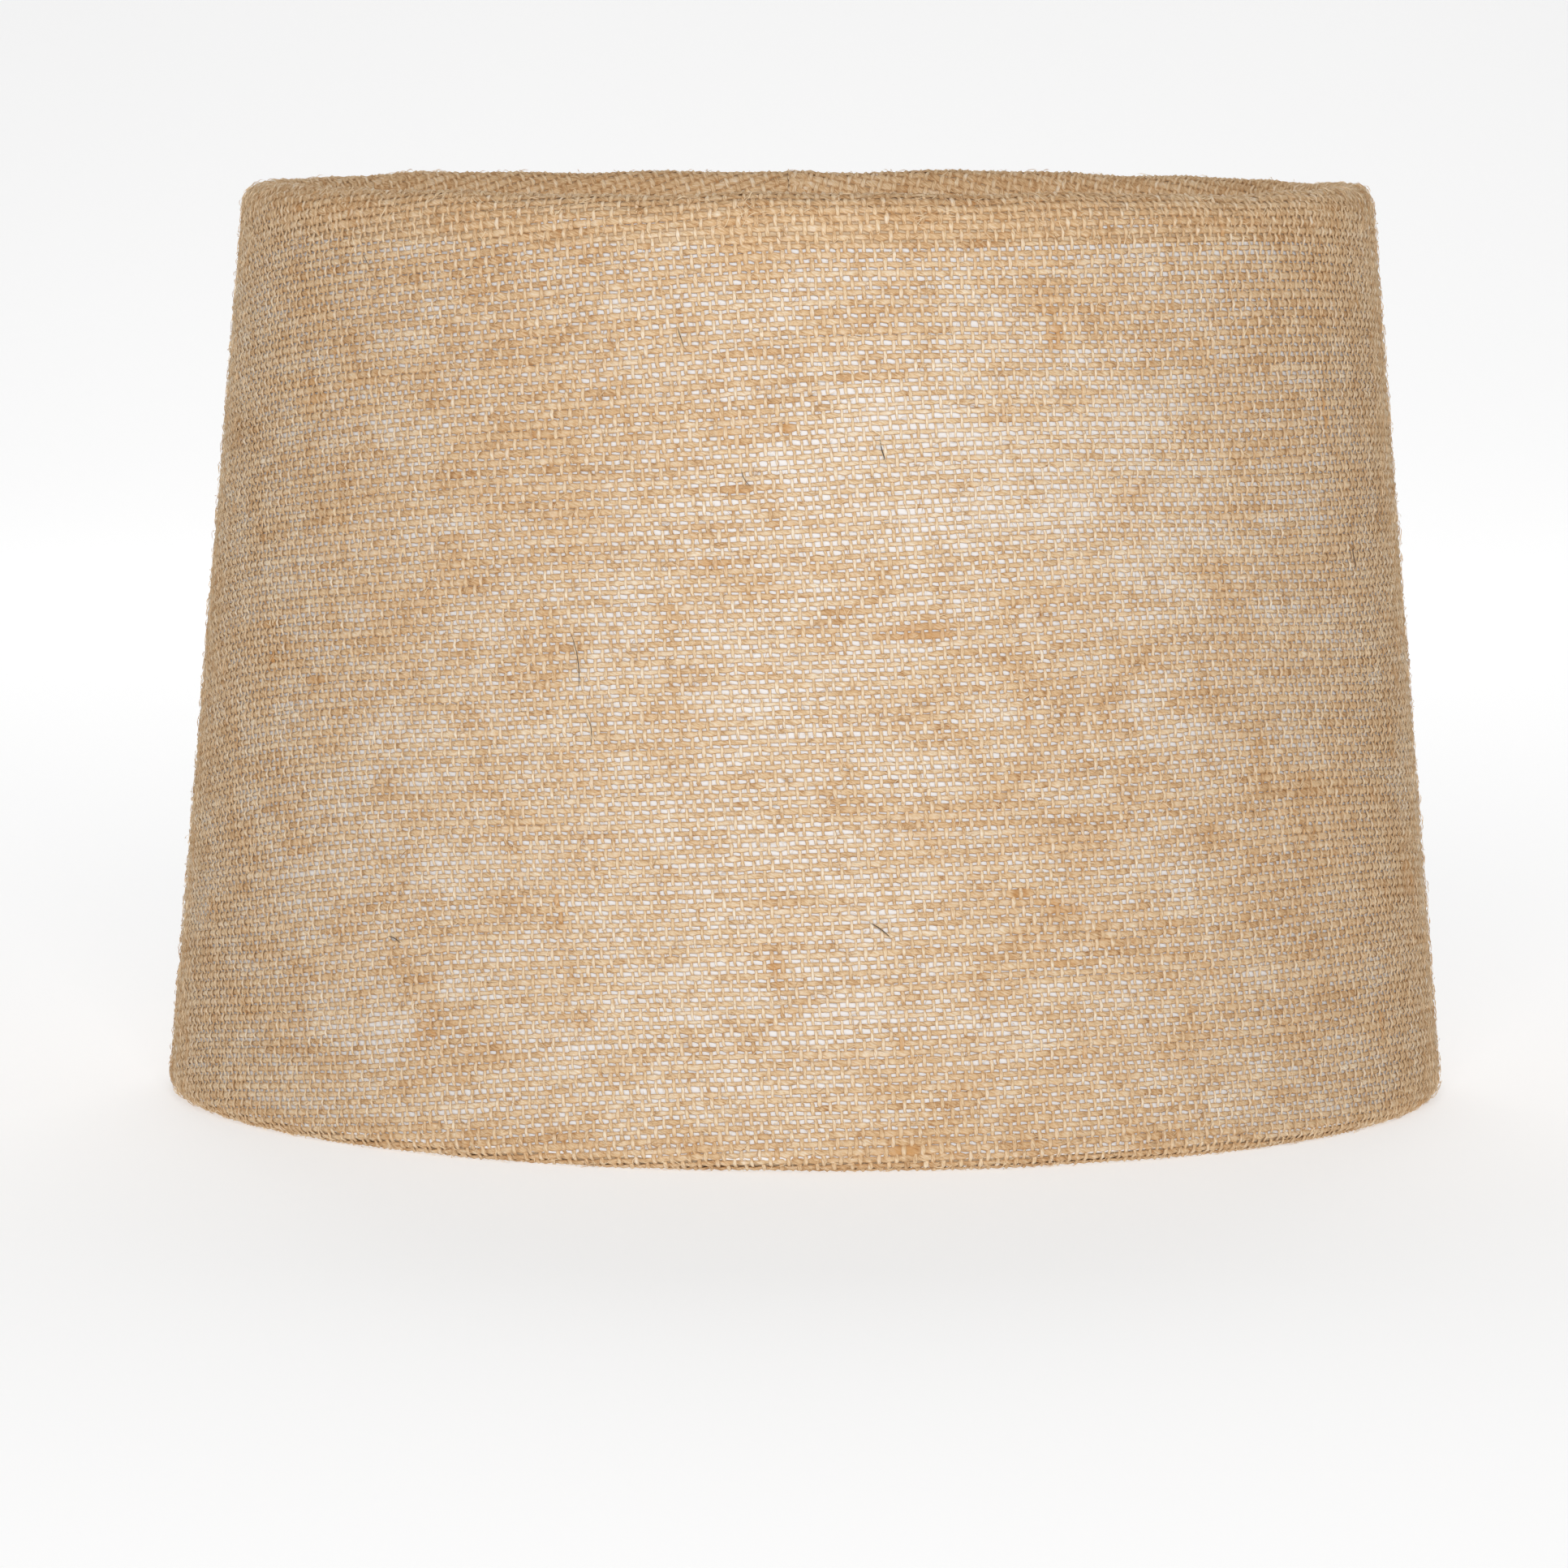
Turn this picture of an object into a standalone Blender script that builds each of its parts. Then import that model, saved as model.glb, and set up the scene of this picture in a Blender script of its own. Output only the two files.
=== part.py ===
"""Tapered drum lamp shade: woven jute over a white liner, on two wire rings, with a swinging gimbal fitter.

The shade stands on its bottom hem with its axis on Z, and the origin is the centre of its base.
The gimbal swings about the X axis between two lugs on the top ring, and a reducer ring lies in it.
Run it with: blender --background --python part.py
"""

import math

import bmesh
import bpy
from mathutils import Matrix, Vector

MM = 0.001

# Overall sizes, over the cloth
BOTTOM_DIAMETER = 350 * MM
TOP_DIAMETER = 307.5 * MM
HEIGHT = 248 * MM

# Sheet and wire stock
CLOTH = 1.2 * MM
LINER = 0.5 * MM
RING_WIRE = 4.0 * MM
ARM_WIRE = 3.2 * MM
LUG_PLATE = 1.5 * MM
FITTER_PLATE = 1.2 * MM
GAP = 0.3 * MM

# Hems: how many layers of cloth go round each ring, and how deep the cloth is turned in
BOTTOM_LAYERS = 1
TOP_LAYERS = 2
TURN_IN = 14 * MM
TOP_CORNER_RISE = 7.0 * MM
TOP_CREST_INSET = 6.0 * MM
FOOT_WIDTH = 2.0 * MM

# Liner seam at the back
LINER_SEAM_GAP = 0.6 * MM
TAPE_WIDTH = 20 * MM
TAPE = 0.4 * MM
TAPE_GAP = 0.5 * MM

# Pivots of the gimbal
PIVOT_DROP = 14 * MM
LUG_WIDTH = 10 * MM
LUG_TAIL = 5.5 * MM
RIVET_SHANK = 3.0 * MM
RIVET_HEAD = 7.0 * MM
RIVET_DOME = 1.6 * MM
RIVET_CLENCH = 1.2 * MM
PIVOT_CLEARANCE = 0.3 * MM
WASHER = 0.8 * MM
WASHER_DIAMETER = 9.0 * MM
EYE_PLATE = 1.2 * MM
EYE_DIAMETER = 9.6 * MM

# Fitter ring for a wide lampholder, and the reducer for a narrow one
GIMBAL_DROP = 58 * MM
FITTER_BORE = 42 * MM
FITTER_RIM = 8 * MM
FITTER_SKIRT = 4.5 * MM
FITTER_BEND = 1.4 * MM
REDUCER_BORE = 29 * MM
REDUCER_LIP = 2.2 * MM
REDUCER_PLATE = 1.5 * MM
REDUCER_SPIGOT = 3.5 * MM
REDUCER_WALL = 1.4 * MM
REDUCER_COLLAR = 1.6 * MM

SEGMENTS = 60
ARC_STEPS = 3
WIRE_SIDES = 8
SMALL_SEGMENTS = 24
FITTER_SEGMENTS = 40
SMOOTH_ANGLE = math.radians(35)

# Radial stack from the cloth's face inwards, the same at both rings
LINER_FACE = CLOTH + GAP
LINER_BACK = LINER_FACE + LINER
RING_INSET = LINER_BACK + GAP + RING_WIRE / 2
TURN_INSET = LINER_BACK + GAP
BOTTOM_HEM = BOTTOM_LAYERS * CLOTH
TOP_HEM = TOP_LAYERS * CLOTH
BOTTOM_RING_Z = BOTTOM_HEM + GAP + RING_WIRE / 2
TOP_RING_Z = HEIGHT - TOP_HEM - GAP - RING_WIRE / 2


def wall(inset, z):
    """The point that far behind the cloth's face at that height, as (radius, z)."""
    slope = (TOP_DIAMETER - BOTTOM_DIAMETER) / 2 / HEIGHT
    return Vector((BOTTOM_DIAMETER / 2 + slope * z - inset, z))


TOP_RING_RADIUS = wall(RING_INSET, TOP_RING_Z).x
BOTTOM_RING_RADIUS = wall(RING_INSET, BOTTOM_RING_Z).x
PIVOT_Z = TOP_RING_Z - PIVOT_DROP
LUG_X = TOP_RING_RADIUS
WASHER_X = LUG_X - LUG_PLATE / 2 - GAP - WASHER / 2
EYE_X = WASHER_X - WASHER / 2 - GAP - EYE_PLATE / 2
FITTER_TOP = -GIMBAL_DROP


def material(name, colour, roughness, metallic=0.0):
    """A plain Principled material."""
    made = bpy.data.materials.new(name)
    made.use_nodes = True
    shader = made.node_tree.nodes["Principled BSDF"]
    shader.inputs["Base Color"].default_value = (*colour, 1.0)
    shader.inputs["Roughness"].default_value = roughness
    shader.inputs["Metallic"].default_value = metallic
    return made


def clear_scene():
    """Removes whatever the file opened with."""
    for obj in list(bpy.data.objects):
        bpy.data.objects.remove(obj)


def add_object(name, mesh, finish, parent=None):
    """Links a finished mesh as one named piece."""
    obj = bpy.data.objects.new(name, mesh)
    bpy.context.scene.collection.objects.link(obj)
    if finish and not mesh.materials:
        mesh.materials.append(finish)
    obj.parent = parent
    return obj


def close_mesh(name, shape):
    """Turns a bmesh into a mesh with its faces pointing out, shaded smooth."""
    bmesh.ops.remove_doubles(shape, verts=shape.verts, dist=1e-7)
    bmesh.ops.recalc_face_normals(shape, faces=shape.faces)
    mesh = bpy.data.meshes.new(name)
    shape.to_mesh(mesh)
    shape.free()
    mesh.shade_smooth()
    mesh.set_sharp_from_angle(angle=SMOOTH_ANGLE)
    return mesh


def turned(name, outline, steps=SEGMENTS, start=0.0, sweep=math.tau):
    """A mesh turned about Z from a closed outline of (radius, z) points, with flat ends if the sweep is partial."""
    shape = bmesh.new()
    corners = [shape.verts.new((r, 0.0, z)) for r, z in outline]
    section = shape.faces.new(corners)
    bmesh.ops.rotate(shape, verts=corners, matrix=Matrix.Rotation(start, 3, "Z"))
    whole = abs(sweep - math.tau) < 1e-9
    if whole:
        edges = list(section.edges)
        bmesh.ops.delete(shape, geom=[section], context="FACES_ONLY")
        geometry = corners + edges
    else:
        geometry = [section, *corners, *section.edges]
    bmesh.ops.spin(shape, geom=geometry, cent=(0, 0, 0), axis=(0, 0, 1), angle=sweep, steps=steps, use_merge=whole)
    if not whole:
        bmesh.ops.contextual_create(shape, geom=[e for e in shape.edges if e.is_boundary])
    return close_mesh(name, shape)


def round_bar(name, radius, start, end, sides=SMALL_SEGMENTS):
    """A cylinder along X between two x positions."""
    shape = bmesh.new()
    bmesh.ops.create_cone(shape, cap_ends=True, segments=sides, radius1=radius, radius2=radius, depth=abs(end - start))
    bmesh.ops.rotate(shape, verts=shape.verts, matrix=Matrix.Rotation(math.pi / 2, 3, "Y"))
    bmesh.ops.translate(shape, verts=shape.verts, vec=((start + end) / 2, 0, 0))
    return close_mesh(name, shape)


def cutter(name, mesh, parent=None):
    """A helper that only cuts."""
    obj = add_object(name, mesh, None, parent)
    obj.hide_render = True
    obj.display_type = "WIRE"
    return obj


def cut(obj, tool):
    """Takes the tool's shape out of the object."""
    modifier = obj.modifiers.new(tool.name, "BOOLEAN")
    modifier.operation = "DIFFERENCE"
    modifier.solver = "EXACT"
    modifier.object = tool


def arc(centre, across, up, first, last, steps=ARC_STEPS):
    """Points on an ellipse from one angle to another, in degrees, both ends included."""
    angles = [math.radians(first + (last - first) * i / steps) for i in range(steps + 1)]
    return [Vector((centre.x + across * math.cos(a), centre.y + up * math.sin(a))) for a in angles]


def hem(ring, up, layers, crest_inset, corner_rise, foot=0.0):
    """The cloth's two faces round one ring, from the wall to the turned-in edge: (seen, hidden).

    ring is the wire's centre, and up is 1 at the top and -1 at the bottom. The cloth leaves the wall,
    goes over the wire and lies back against the liner. Its seen face is thickened by the layers.
    """
    thick = layers * CLOTH
    inner = RING_WIRE / 2 + GAP
    crest_z = ring.y + up * (inner + thick)
    corner = wall(0, crest_z - up * corner_rise)
    crest = Vector((corner.x - crest_inset, crest_z))
    bulge = inner + thick

    seen = arc(Vector((crest.x, corner.y)), crest_inset, up * corner_rise, 0, 90)
    seen[-1] = crest + Vector((foot / 2, 0))
    across = crest.x - foot / 2 - (ring.x - bulge)
    seen += arc(Vector((crest.x - foot / 2, ring.y)), across, up * bulge, 90, 180)
    seen += arc(ring, bulge, up * bulge, 180, 225, 1)[1:]

    wall_gap = RING_INSET - CLOTH
    hidden = arc(ring, wall_gap, up * inner, 0, 90)
    hidden += arc(ring, inner, up * inner, 90, 225)[1:]

    rise = RING_WIRE / 2 + GAP + 2.2 * MM
    lay = up * (rise + 0.5 * thick)
    seen.append(wall(TURN_INSET + thick, ring.y - lay))
    seen.append(wall(TURN_INSET + thick, ring.y - up * TURN_IN))
    hidden.append(wall(TURN_INSET, ring.y - up * rise))
    hidden.append(wall(TURN_INSET, ring.y - up * TURN_IN))
    return seen, hidden


def cloth_outline():
    """The closed section of the whole cover: up the seen face, over the top hem and back down the hidden face."""
    low_ring = Vector((BOTTOM_RING_RADIUS, BOTTOM_RING_Z))
    high_ring = Vector((TOP_RING_RADIUS, TOP_RING_Z))
    low_seen, low_hidden = hem(low_ring, -1, BOTTOM_LAYERS, RING_INSET, BOTTOM_RING_Z, FOOT_WIDTH)
    high_seen, high_hidden = hem(high_ring, 1, TOP_LAYERS, TOP_CREST_INSET, TOP_CORNER_RISE)
    return list(reversed(low_seen)) + high_seen + list(reversed(high_hidden)) + low_hidden


def build_cover(finish):
    """The jute sleeve with both hems, notched where the two lugs come through the top hem."""
    cover = add_object("jute_cover", turned("jute_cover", cloth_outline()), finish)
    low, high = TOP_RING_Z - TURN_IN - 2 * MM, TOP_RING_Z - RING_WIRE / 2
    behind = (LINER_BACK + CLOTH) / 2
    reach = RING_INSET + RING_WIRE + TOP_HEM
    outline = [wall(behind, low), wall(behind, high), wall(reach, high), wall(reach, low)]
    half = (LUG_WIDTH / 2 + 4 * GAP) / TOP_RING_RADIUS
    for side, turn in (("right", 0.0), ("left", math.pi)):
        mesh = turned(f"notch_{side}", outline, steps=2, start=turn - half, sweep=2 * half)
        cut(cover, cutter(f"notch_{side}", mesh))


def build_liner(finish, tape_finish):
    """The white panel behind the cloth, slit at the back, and the strip that joins its ends."""
    outline = [wall(LINER_FACE, BOTTOM_RING_Z), wall(LINER_FACE, TOP_RING_Z)]
    outline += [wall(LINER_BACK, TOP_RING_Z), wall(LINER_BACK, BOTTOM_RING_Z)]
    liner = add_object("liner_panel", turned("liner_panel", outline), finish)
    slit = bmesh.new()
    bmesh.ops.create_cube(slit, size=1.0)
    bmesh.ops.scale(slit, vec=(LINER_SEAM_GAP, BOTTOM_DIAMETER / 2, 2 * HEIGHT), verts=slit.verts)
    bmesh.ops.translate(slit, vec=(0, BOTTOM_DIAMETER / 2, HEIGHT / 2), verts=slit.verts)
    cut(liner, cutter("liner_slit", close_mesh("liner_slit", slit)))

    low, high = BOTTOM_RING_Z + TURN_IN + GAP, TOP_RING_Z - TURN_IN - GAP
    face, back = LINER_BACK + TAPE_GAP, LINER_BACK + TAPE_GAP + TAPE
    strip = [wall(face, low), wall(face, high), wall(back, high), wall(back, low)]
    half = TAPE_WIDTH / (TOP_DIAMETER + BOTTOM_DIAMETER) * 2
    mesh = turned("liner_seam_tape", strip, steps=2, start=math.pi / 2 - half, sweep=2 * half)
    add_object("liner_seam_tape", mesh, tape_finish)


def build_ring(name, radius, height, finish):
    """A ring of round wire."""
    circle = [
        (radius + RING_WIRE / 2 * math.cos(a), height + RING_WIRE / 2 * math.sin(a))
        for a in (math.tau * i / WIRE_SIDES for i in range(WIRE_SIDES))
    ]
    add_object(name, turned(name, circle), finish)


def pivot_hole(name, parent):
    """A cutter along X through the plates that turn on a rivet."""
    radius = RIVET_SHANK / 2 + PIVOT_CLEARANCE
    return cutter(name, round_bar(name, radius, EYE_X - 2 * LUG_PLATE, LUG_X + 2 * LUG_PLATE), parent)


def lug_mesh():
    """A plate that hangs from the top ring, rounded at its tail, with its pivot at the origin's height."""
    top = PIVOT_DROP - RING_WIRE / 2 - GAP
    half = LUG_WIDTH / 2
    tail = [(half * math.cos(a), -LUG_TAIL + half + half * math.sin(a)) for a in
            (math.pi + math.pi * i / (2 * ARC_STEPS) for i in range(2 * ARC_STEPS + 1))]
    shape = bmesh.new()
    outline = [(-half, top), *tail, (half, top)]
    face = shape.faces.new([shape.verts.new((LUG_X - LUG_PLATE / 2, y, z)) for y, z in outline])
    pushed = bmesh.ops.extrude_face_region(shape, geom=[face])["geom"]
    bmesh.ops.translate(shape, verts=[v for v in pushed if isinstance(v, bmesh.types.BMVert)], vec=(LUG_PLATE, 0, 0))
    return close_mesh("pivot_lug", shape)


def rivet_mesh():
    """A domed head inside, a shank, and a clenched head behind the lug, turned about X."""
    head, shank = RIVET_HEAD / 2, RIVET_SHANK / 2
    inside = EYE_X - EYE_PLATE / 2 - GAP
    outside = LUG_X + LUG_PLATE / 2 + GAP
    dome = arc(Vector((0, 0)), head, RIVET_DOME, 90, 0)
    outline = [(p.x, inside - p.y) for p in dome]
    outline += [(shank, inside), (shank, outside), (head * 0.8, outside)]
    outline += [(head * 0.65, outside + RIVET_CLENCH), (0.0, outside + RIVET_CLENCH)]
    outline[0] = (0.0, inside - RIVET_DOME)
    shape = bmesh.new()
    corners = [shape.verts.new((x, 0.0, r)) for r, x in outline]
    edges = [shape.edges.new(pair) for pair in zip(corners, corners[1:])]
    bmesh.ops.spin(shape, geom=corners + edges, cent=(0, 0, 0), axis=(1, 0, 0), angle=math.tau,
                   steps=SMALL_SEGMENTS, use_merge=True)
    return close_mesh("pivot_rivet", shape)


def washer_mesh():
    """A plain washer between the lug and the arm's eye."""
    shape = bmesh.new()
    outer, inner = WASHER_DIAMETER / 2, RIVET_SHANK / 2 + PIVOT_CLEARANCE
    low, high = WASHER_X - WASHER / 2, WASHER_X + WASHER / 2
    corners = [shape.verts.new((x, 0.0, r)) for x, r in ((low, inner), (low, outer), (high, outer), (high, inner))]
    edges = [shape.edges.new((a, b)) for a, b in zip(corners, corners[1:] + corners[:1])]
    bmesh.ops.spin(shape, geom=corners + edges, cent=(0, 0, 0), axis=(1, 0, 0), angle=math.tau,
                   steps=SMALL_SEGMENTS, use_merge=True)
    return close_mesh("pivot_washer", shape)


def arm_stations():
    """The arm's stations from its eye to the fitter ring: (x, z, half thickness, half width)."""
    eye, wire, plate = EYE_DIAMETER / 2, ARM_WIRE / 2, EYE_PLATE / 2
    stations = []
    for lift in (0.98, 0.8, 0.45, 0.0, -0.45, -0.84):
        stations.append((EYE_X, lift * eye, plate, max(eye * math.sqrt(1 - lift * lift), 0.62 * eye)))
    stations[0] = (EYE_X, 0.98 * eye, plate, 0.3 * eye)
    stations.append((EYE_X - 0.7 * MM, -1.12 * eye, 1.5 * plate, 0.48 * eye))
    stations.append((EYE_X - 2.6 * MM, -1.45 * eye, 1.1 * wire, 1.1 * wire))
    stations.append((EYE_X - 6.0 * MM, -1.80 * eye, wire, wire))
    wire_z = FITTER_TOP + GAP + wire
    end_x = FITTER_BORE / 2 + REDUCER_LIP + GAP + 2 * GAP
    bend_x = FITTER_BORE / 2 + FITTER_RIM + 5 * MM
    start = Vector(stations[-1][:2])
    bend = Vector((bend_x, wire_z))
    for share in (0.5, 0.94):
        point = start.lerp(bend, share)
        stations.append((point.x, point.y, wire, wire))
    stations.append((bend_x - 0.35 * (bend_x - end_x), wire_z, wire, wire))
    stations.append((end_x, wire_z, wire, wire))
    return stations


def arm_mesh():
    """A wire with one end flattened into an eye, lofted along its stations in the XZ plane."""
    shape = bmesh.new()
    stations = arm_stations()
    loops = []
    for i, (x, z, thin, wide) in enumerate(stations):
        before, after = stations[max(i - 1, 0)], stations[min(i + 1, len(stations) - 1)]
        along = Vector((after[0] - before[0], 0, after[1] - before[1])).normalized()
        side = along.cross(Vector((0, 1, 0)))
        loop = []
        for k in range(WIRE_SIDES):
            angle = math.tau * (k + 0.5) / WIRE_SIDES
            offset = side * thin * math.cos(angle) + Vector((0, 1, 0)) * wide * math.sin(angle)
            loop.append(shape.verts.new(Vector((x, 0, z)) + offset))
        loops.append(loop)
    edges = []
    for loop in loops:
        edges += [shape.edges.new((a, b)) for a, b in zip(loop, loop[1:] + loop[:1])]
    bmesh.ops.bridge_loops(shape, edges=edges)
    for loop in (loops[0], loops[-1]):
        shape.faces.new(loop)
    return close_mesh("gimbal_arm", shape)


def build_pivots(steel, bright, nylon):
    """Both lugs with their rivets and washers, fixed to the top ring."""
    meshes = (("pivot_lug", lug_mesh(), steel), ("pivot_rivet", rivet_mesh(), bright),
              ("pivot_washer", washer_mesh(), nylon))
    for side, turn in (("right", 0.0), ("left", math.pi)):
        seat = bpy.data.objects.new(f"pivot_seat_{side}", None)
        bpy.context.scene.collection.objects.link(seat)
        seat.location.z = PIVOT_Z
        seat.rotation_euler.z = turn
        for kind, mesh, finish in meshes:
            piece = add_object(f"{kind}_{side}", mesh, finish, seat)
            if kind == "pivot_lug":
                cut(piece, pivot_hole(f"lug_hole_{side}", seat))


def build_gimbal(steel, plastic):
    """The swinging part: two arms and the fitter ring on one axis, with the reducer ring lying in the bore."""
    axis = bpy.data.objects.new("gimbal_axis", None)
    bpy.context.scene.collection.objects.link(axis)
    axis.location.z = PIVOT_Z
    mesh = arm_mesh()
    for side, turn in (("right", 0.0), ("left", math.pi)):
        swing = bpy.data.objects.new(f"arm_turn_{side}", None)
        bpy.context.scene.collection.objects.link(swing)
        swing.parent = axis
        swing.rotation_euler.z = turn
        arm = add_object(f"gimbal_arm_{side}", mesh, steel, swing)
        cut(arm, pivot_hole(f"eye_hole_{side}", swing))

    bore, rim = FITTER_BORE / 2, FITTER_BORE / 2 + FITTER_RIM
    low = FITTER_TOP - FITTER_PLATE
    inner_bend = FITTER_BEND - FITTER_PLATE / 2
    plate = [(bore, low), (bore, FITTER_TOP)]
    plate += arc(Vector((rim - FITTER_BEND, FITTER_TOP - FITTER_BEND)), FITTER_BEND, FITTER_BEND, 90, 0)
    plate += [(rim, FITTER_TOP - FITTER_SKIRT), (rim - FITTER_PLATE, FITTER_TOP - FITTER_SKIRT)]
    plate += [(rim - FITTER_PLATE, low - inner_bend), (rim - FITTER_PLATE - inner_bend, low)]
    add_object("fitter_ring", turned("fitter_ring", plate, steps=FITTER_SEGMENTS), steel, axis)

    seat_z = FITTER_TOP + GAP
    hole, spigot = REDUCER_BORE / 2, bore - GAP
    bottom = seat_z - REDUCER_SPIGOT - FITTER_PLATE
    disc = [(hole, seat_z), (hole, seat_z + REDUCER_COLLAR + REDUCER_PLATE)]
    disc += [(hole + REDUCER_WALL, seat_z + REDUCER_COLLAR + REDUCER_PLATE)]
    disc += [(hole + REDUCER_WALL, seat_z + REDUCER_PLATE), (bore + REDUCER_LIP, seat_z + REDUCER_PLATE)]
    disc += [(bore + REDUCER_LIP, seat_z), (spigot, seat_z), (spigot, bottom)]
    disc += [(spigot - REDUCER_WALL, bottom), (spigot - REDUCER_WALL, seat_z)]
    add_object("reducer_ring", turned("reducer_ring", disc, steps=FITTER_SEGMENTS), plastic, axis)


def build():
    """Builds the whole shade."""
    clear_scene()
    jute = material("jute", (0.56, 0.38, 0.21), 0.9)
    liner = material("liner", (0.86, 0.85, 0.82), 0.55)
    tape = material("tape", (0.82, 0.82, 0.80), 0.45)
    steel = material("white_steel", (0.83, 0.83, 0.81), 0.35)
    bright = material("zinc_steel", (0.62, 0.62, 0.62), 0.3, 1.0)
    nylon = material("nylon", (0.85, 0.84, 0.80), 0.5)
    plastic = material("reducer_plastic", (0.88, 0.88, 0.86), 0.4)
    build_cover(jute)
    build_liner(liner, tape)
    build_ring("top_ring", TOP_RING_RADIUS, TOP_RING_Z, steel)
    build_ring("bottom_ring", BOTTOM_RING_RADIUS, BOTTOM_RING_Z, steel)
    build_pivots(steel, bright, nylon)
    build_gimbal(steel, plastic)


build()
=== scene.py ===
"""Visual model of a tapered drum lamp shade: woven jute over a white liner, with a swinging gimbal fitter.

The cloth is made of its threads. They are laid out flat, as on the loom, cut to the ring sector that a cone
unrolls to, then wrapped round the shade and over both wire rings.
"""

import logging
import math
from collections.abc import Sequence
from dataclasses import dataclass, field
from enum import Enum

import bmesh
import bpy
import numpy as np
from mathutils import Matrix, Vector


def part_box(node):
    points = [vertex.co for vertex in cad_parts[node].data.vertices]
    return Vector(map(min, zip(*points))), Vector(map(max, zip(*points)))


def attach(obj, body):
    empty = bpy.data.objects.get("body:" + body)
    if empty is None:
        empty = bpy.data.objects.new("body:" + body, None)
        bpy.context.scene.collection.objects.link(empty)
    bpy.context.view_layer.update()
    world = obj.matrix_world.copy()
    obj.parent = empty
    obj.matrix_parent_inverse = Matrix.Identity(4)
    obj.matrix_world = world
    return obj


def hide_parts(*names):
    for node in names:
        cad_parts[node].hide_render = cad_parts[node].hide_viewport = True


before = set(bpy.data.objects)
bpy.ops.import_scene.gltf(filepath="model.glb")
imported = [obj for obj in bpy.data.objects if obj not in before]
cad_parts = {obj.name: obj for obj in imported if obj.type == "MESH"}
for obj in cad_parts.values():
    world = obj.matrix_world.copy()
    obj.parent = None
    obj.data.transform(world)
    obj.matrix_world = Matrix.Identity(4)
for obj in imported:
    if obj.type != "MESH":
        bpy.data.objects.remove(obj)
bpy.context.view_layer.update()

LOG = logging.getLogger("shade")
MM = 0.001
Colour = tuple[float, float, float]


class Body(Enum):
    """The rigid bodies that pieces ride on."""

    SHADE = "shade"
    GIMBAL = "gimbal"
    REDUCER = "reducer"


class Thread(Enum):
    """The two sets of threads in a plain weave."""

    WARP = "warp"
    WEFT = "weft"


# Shader helpers


class Signal:
    """A value in a node tree that takes Python's operators."""

    def __init__(self, graph: "ShaderGraph", socket: bpy.types.NodeSocket) -> None:
        """Wraps a socket.

        Args:
            graph: The node tree that the socket is in.
            socket: The output that carries the value.
        """
        self.graph = graph
        self.socket = socket

    def _with(self, operation: str, left: "Signal | float", right: "Signal | float") -> "Signal":
        """Adds one Math node.

        Args:
            operation: The Math node's operation.
            left: Its first value.
            right: Its second value.

        Returns:
            The node's result.
        """
        return self.graph.value("ShaderNodeMath", {"operation": operation}, {0: left, 1: right})

    def __add__(self, other: "Signal | float") -> "Signal":
        """The sum."""
        return self._with("ADD", self, other)

    def __radd__(self, other: float) -> "Signal":
        """The sum, with the number first."""
        return self._with("ADD", other, self)

    def __sub__(self, other: "Signal | float") -> "Signal":
        """The difference."""
        return self._with("SUBTRACT", self, other)

    def __rsub__(self, other: float) -> "Signal":
        """The difference, with the number first."""
        return self._with("SUBTRACT", other, self)

    def __mul__(self, other: "Signal | float") -> "Signal":
        """The product."""
        return self._with("MULTIPLY", self, other)

    def ramp(self, low: float, high: float, start: float = 0.0, end: float = 1.0) -> "Signal":
        """A smooth rise from one value to another.

        Args:
            low: Where the rise begins.
            high: Where it ends.
            start: The result at and before low.
            end: The result at and past high.

        Returns:
            The result.
        """
        settings = {"interpolation_type": "SMOOTHSTEP"}
        return self.graph.value("ShaderNodeMapRange", settings, {0: self, 1: low, 2: high, 3: start, 4: end})


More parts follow.
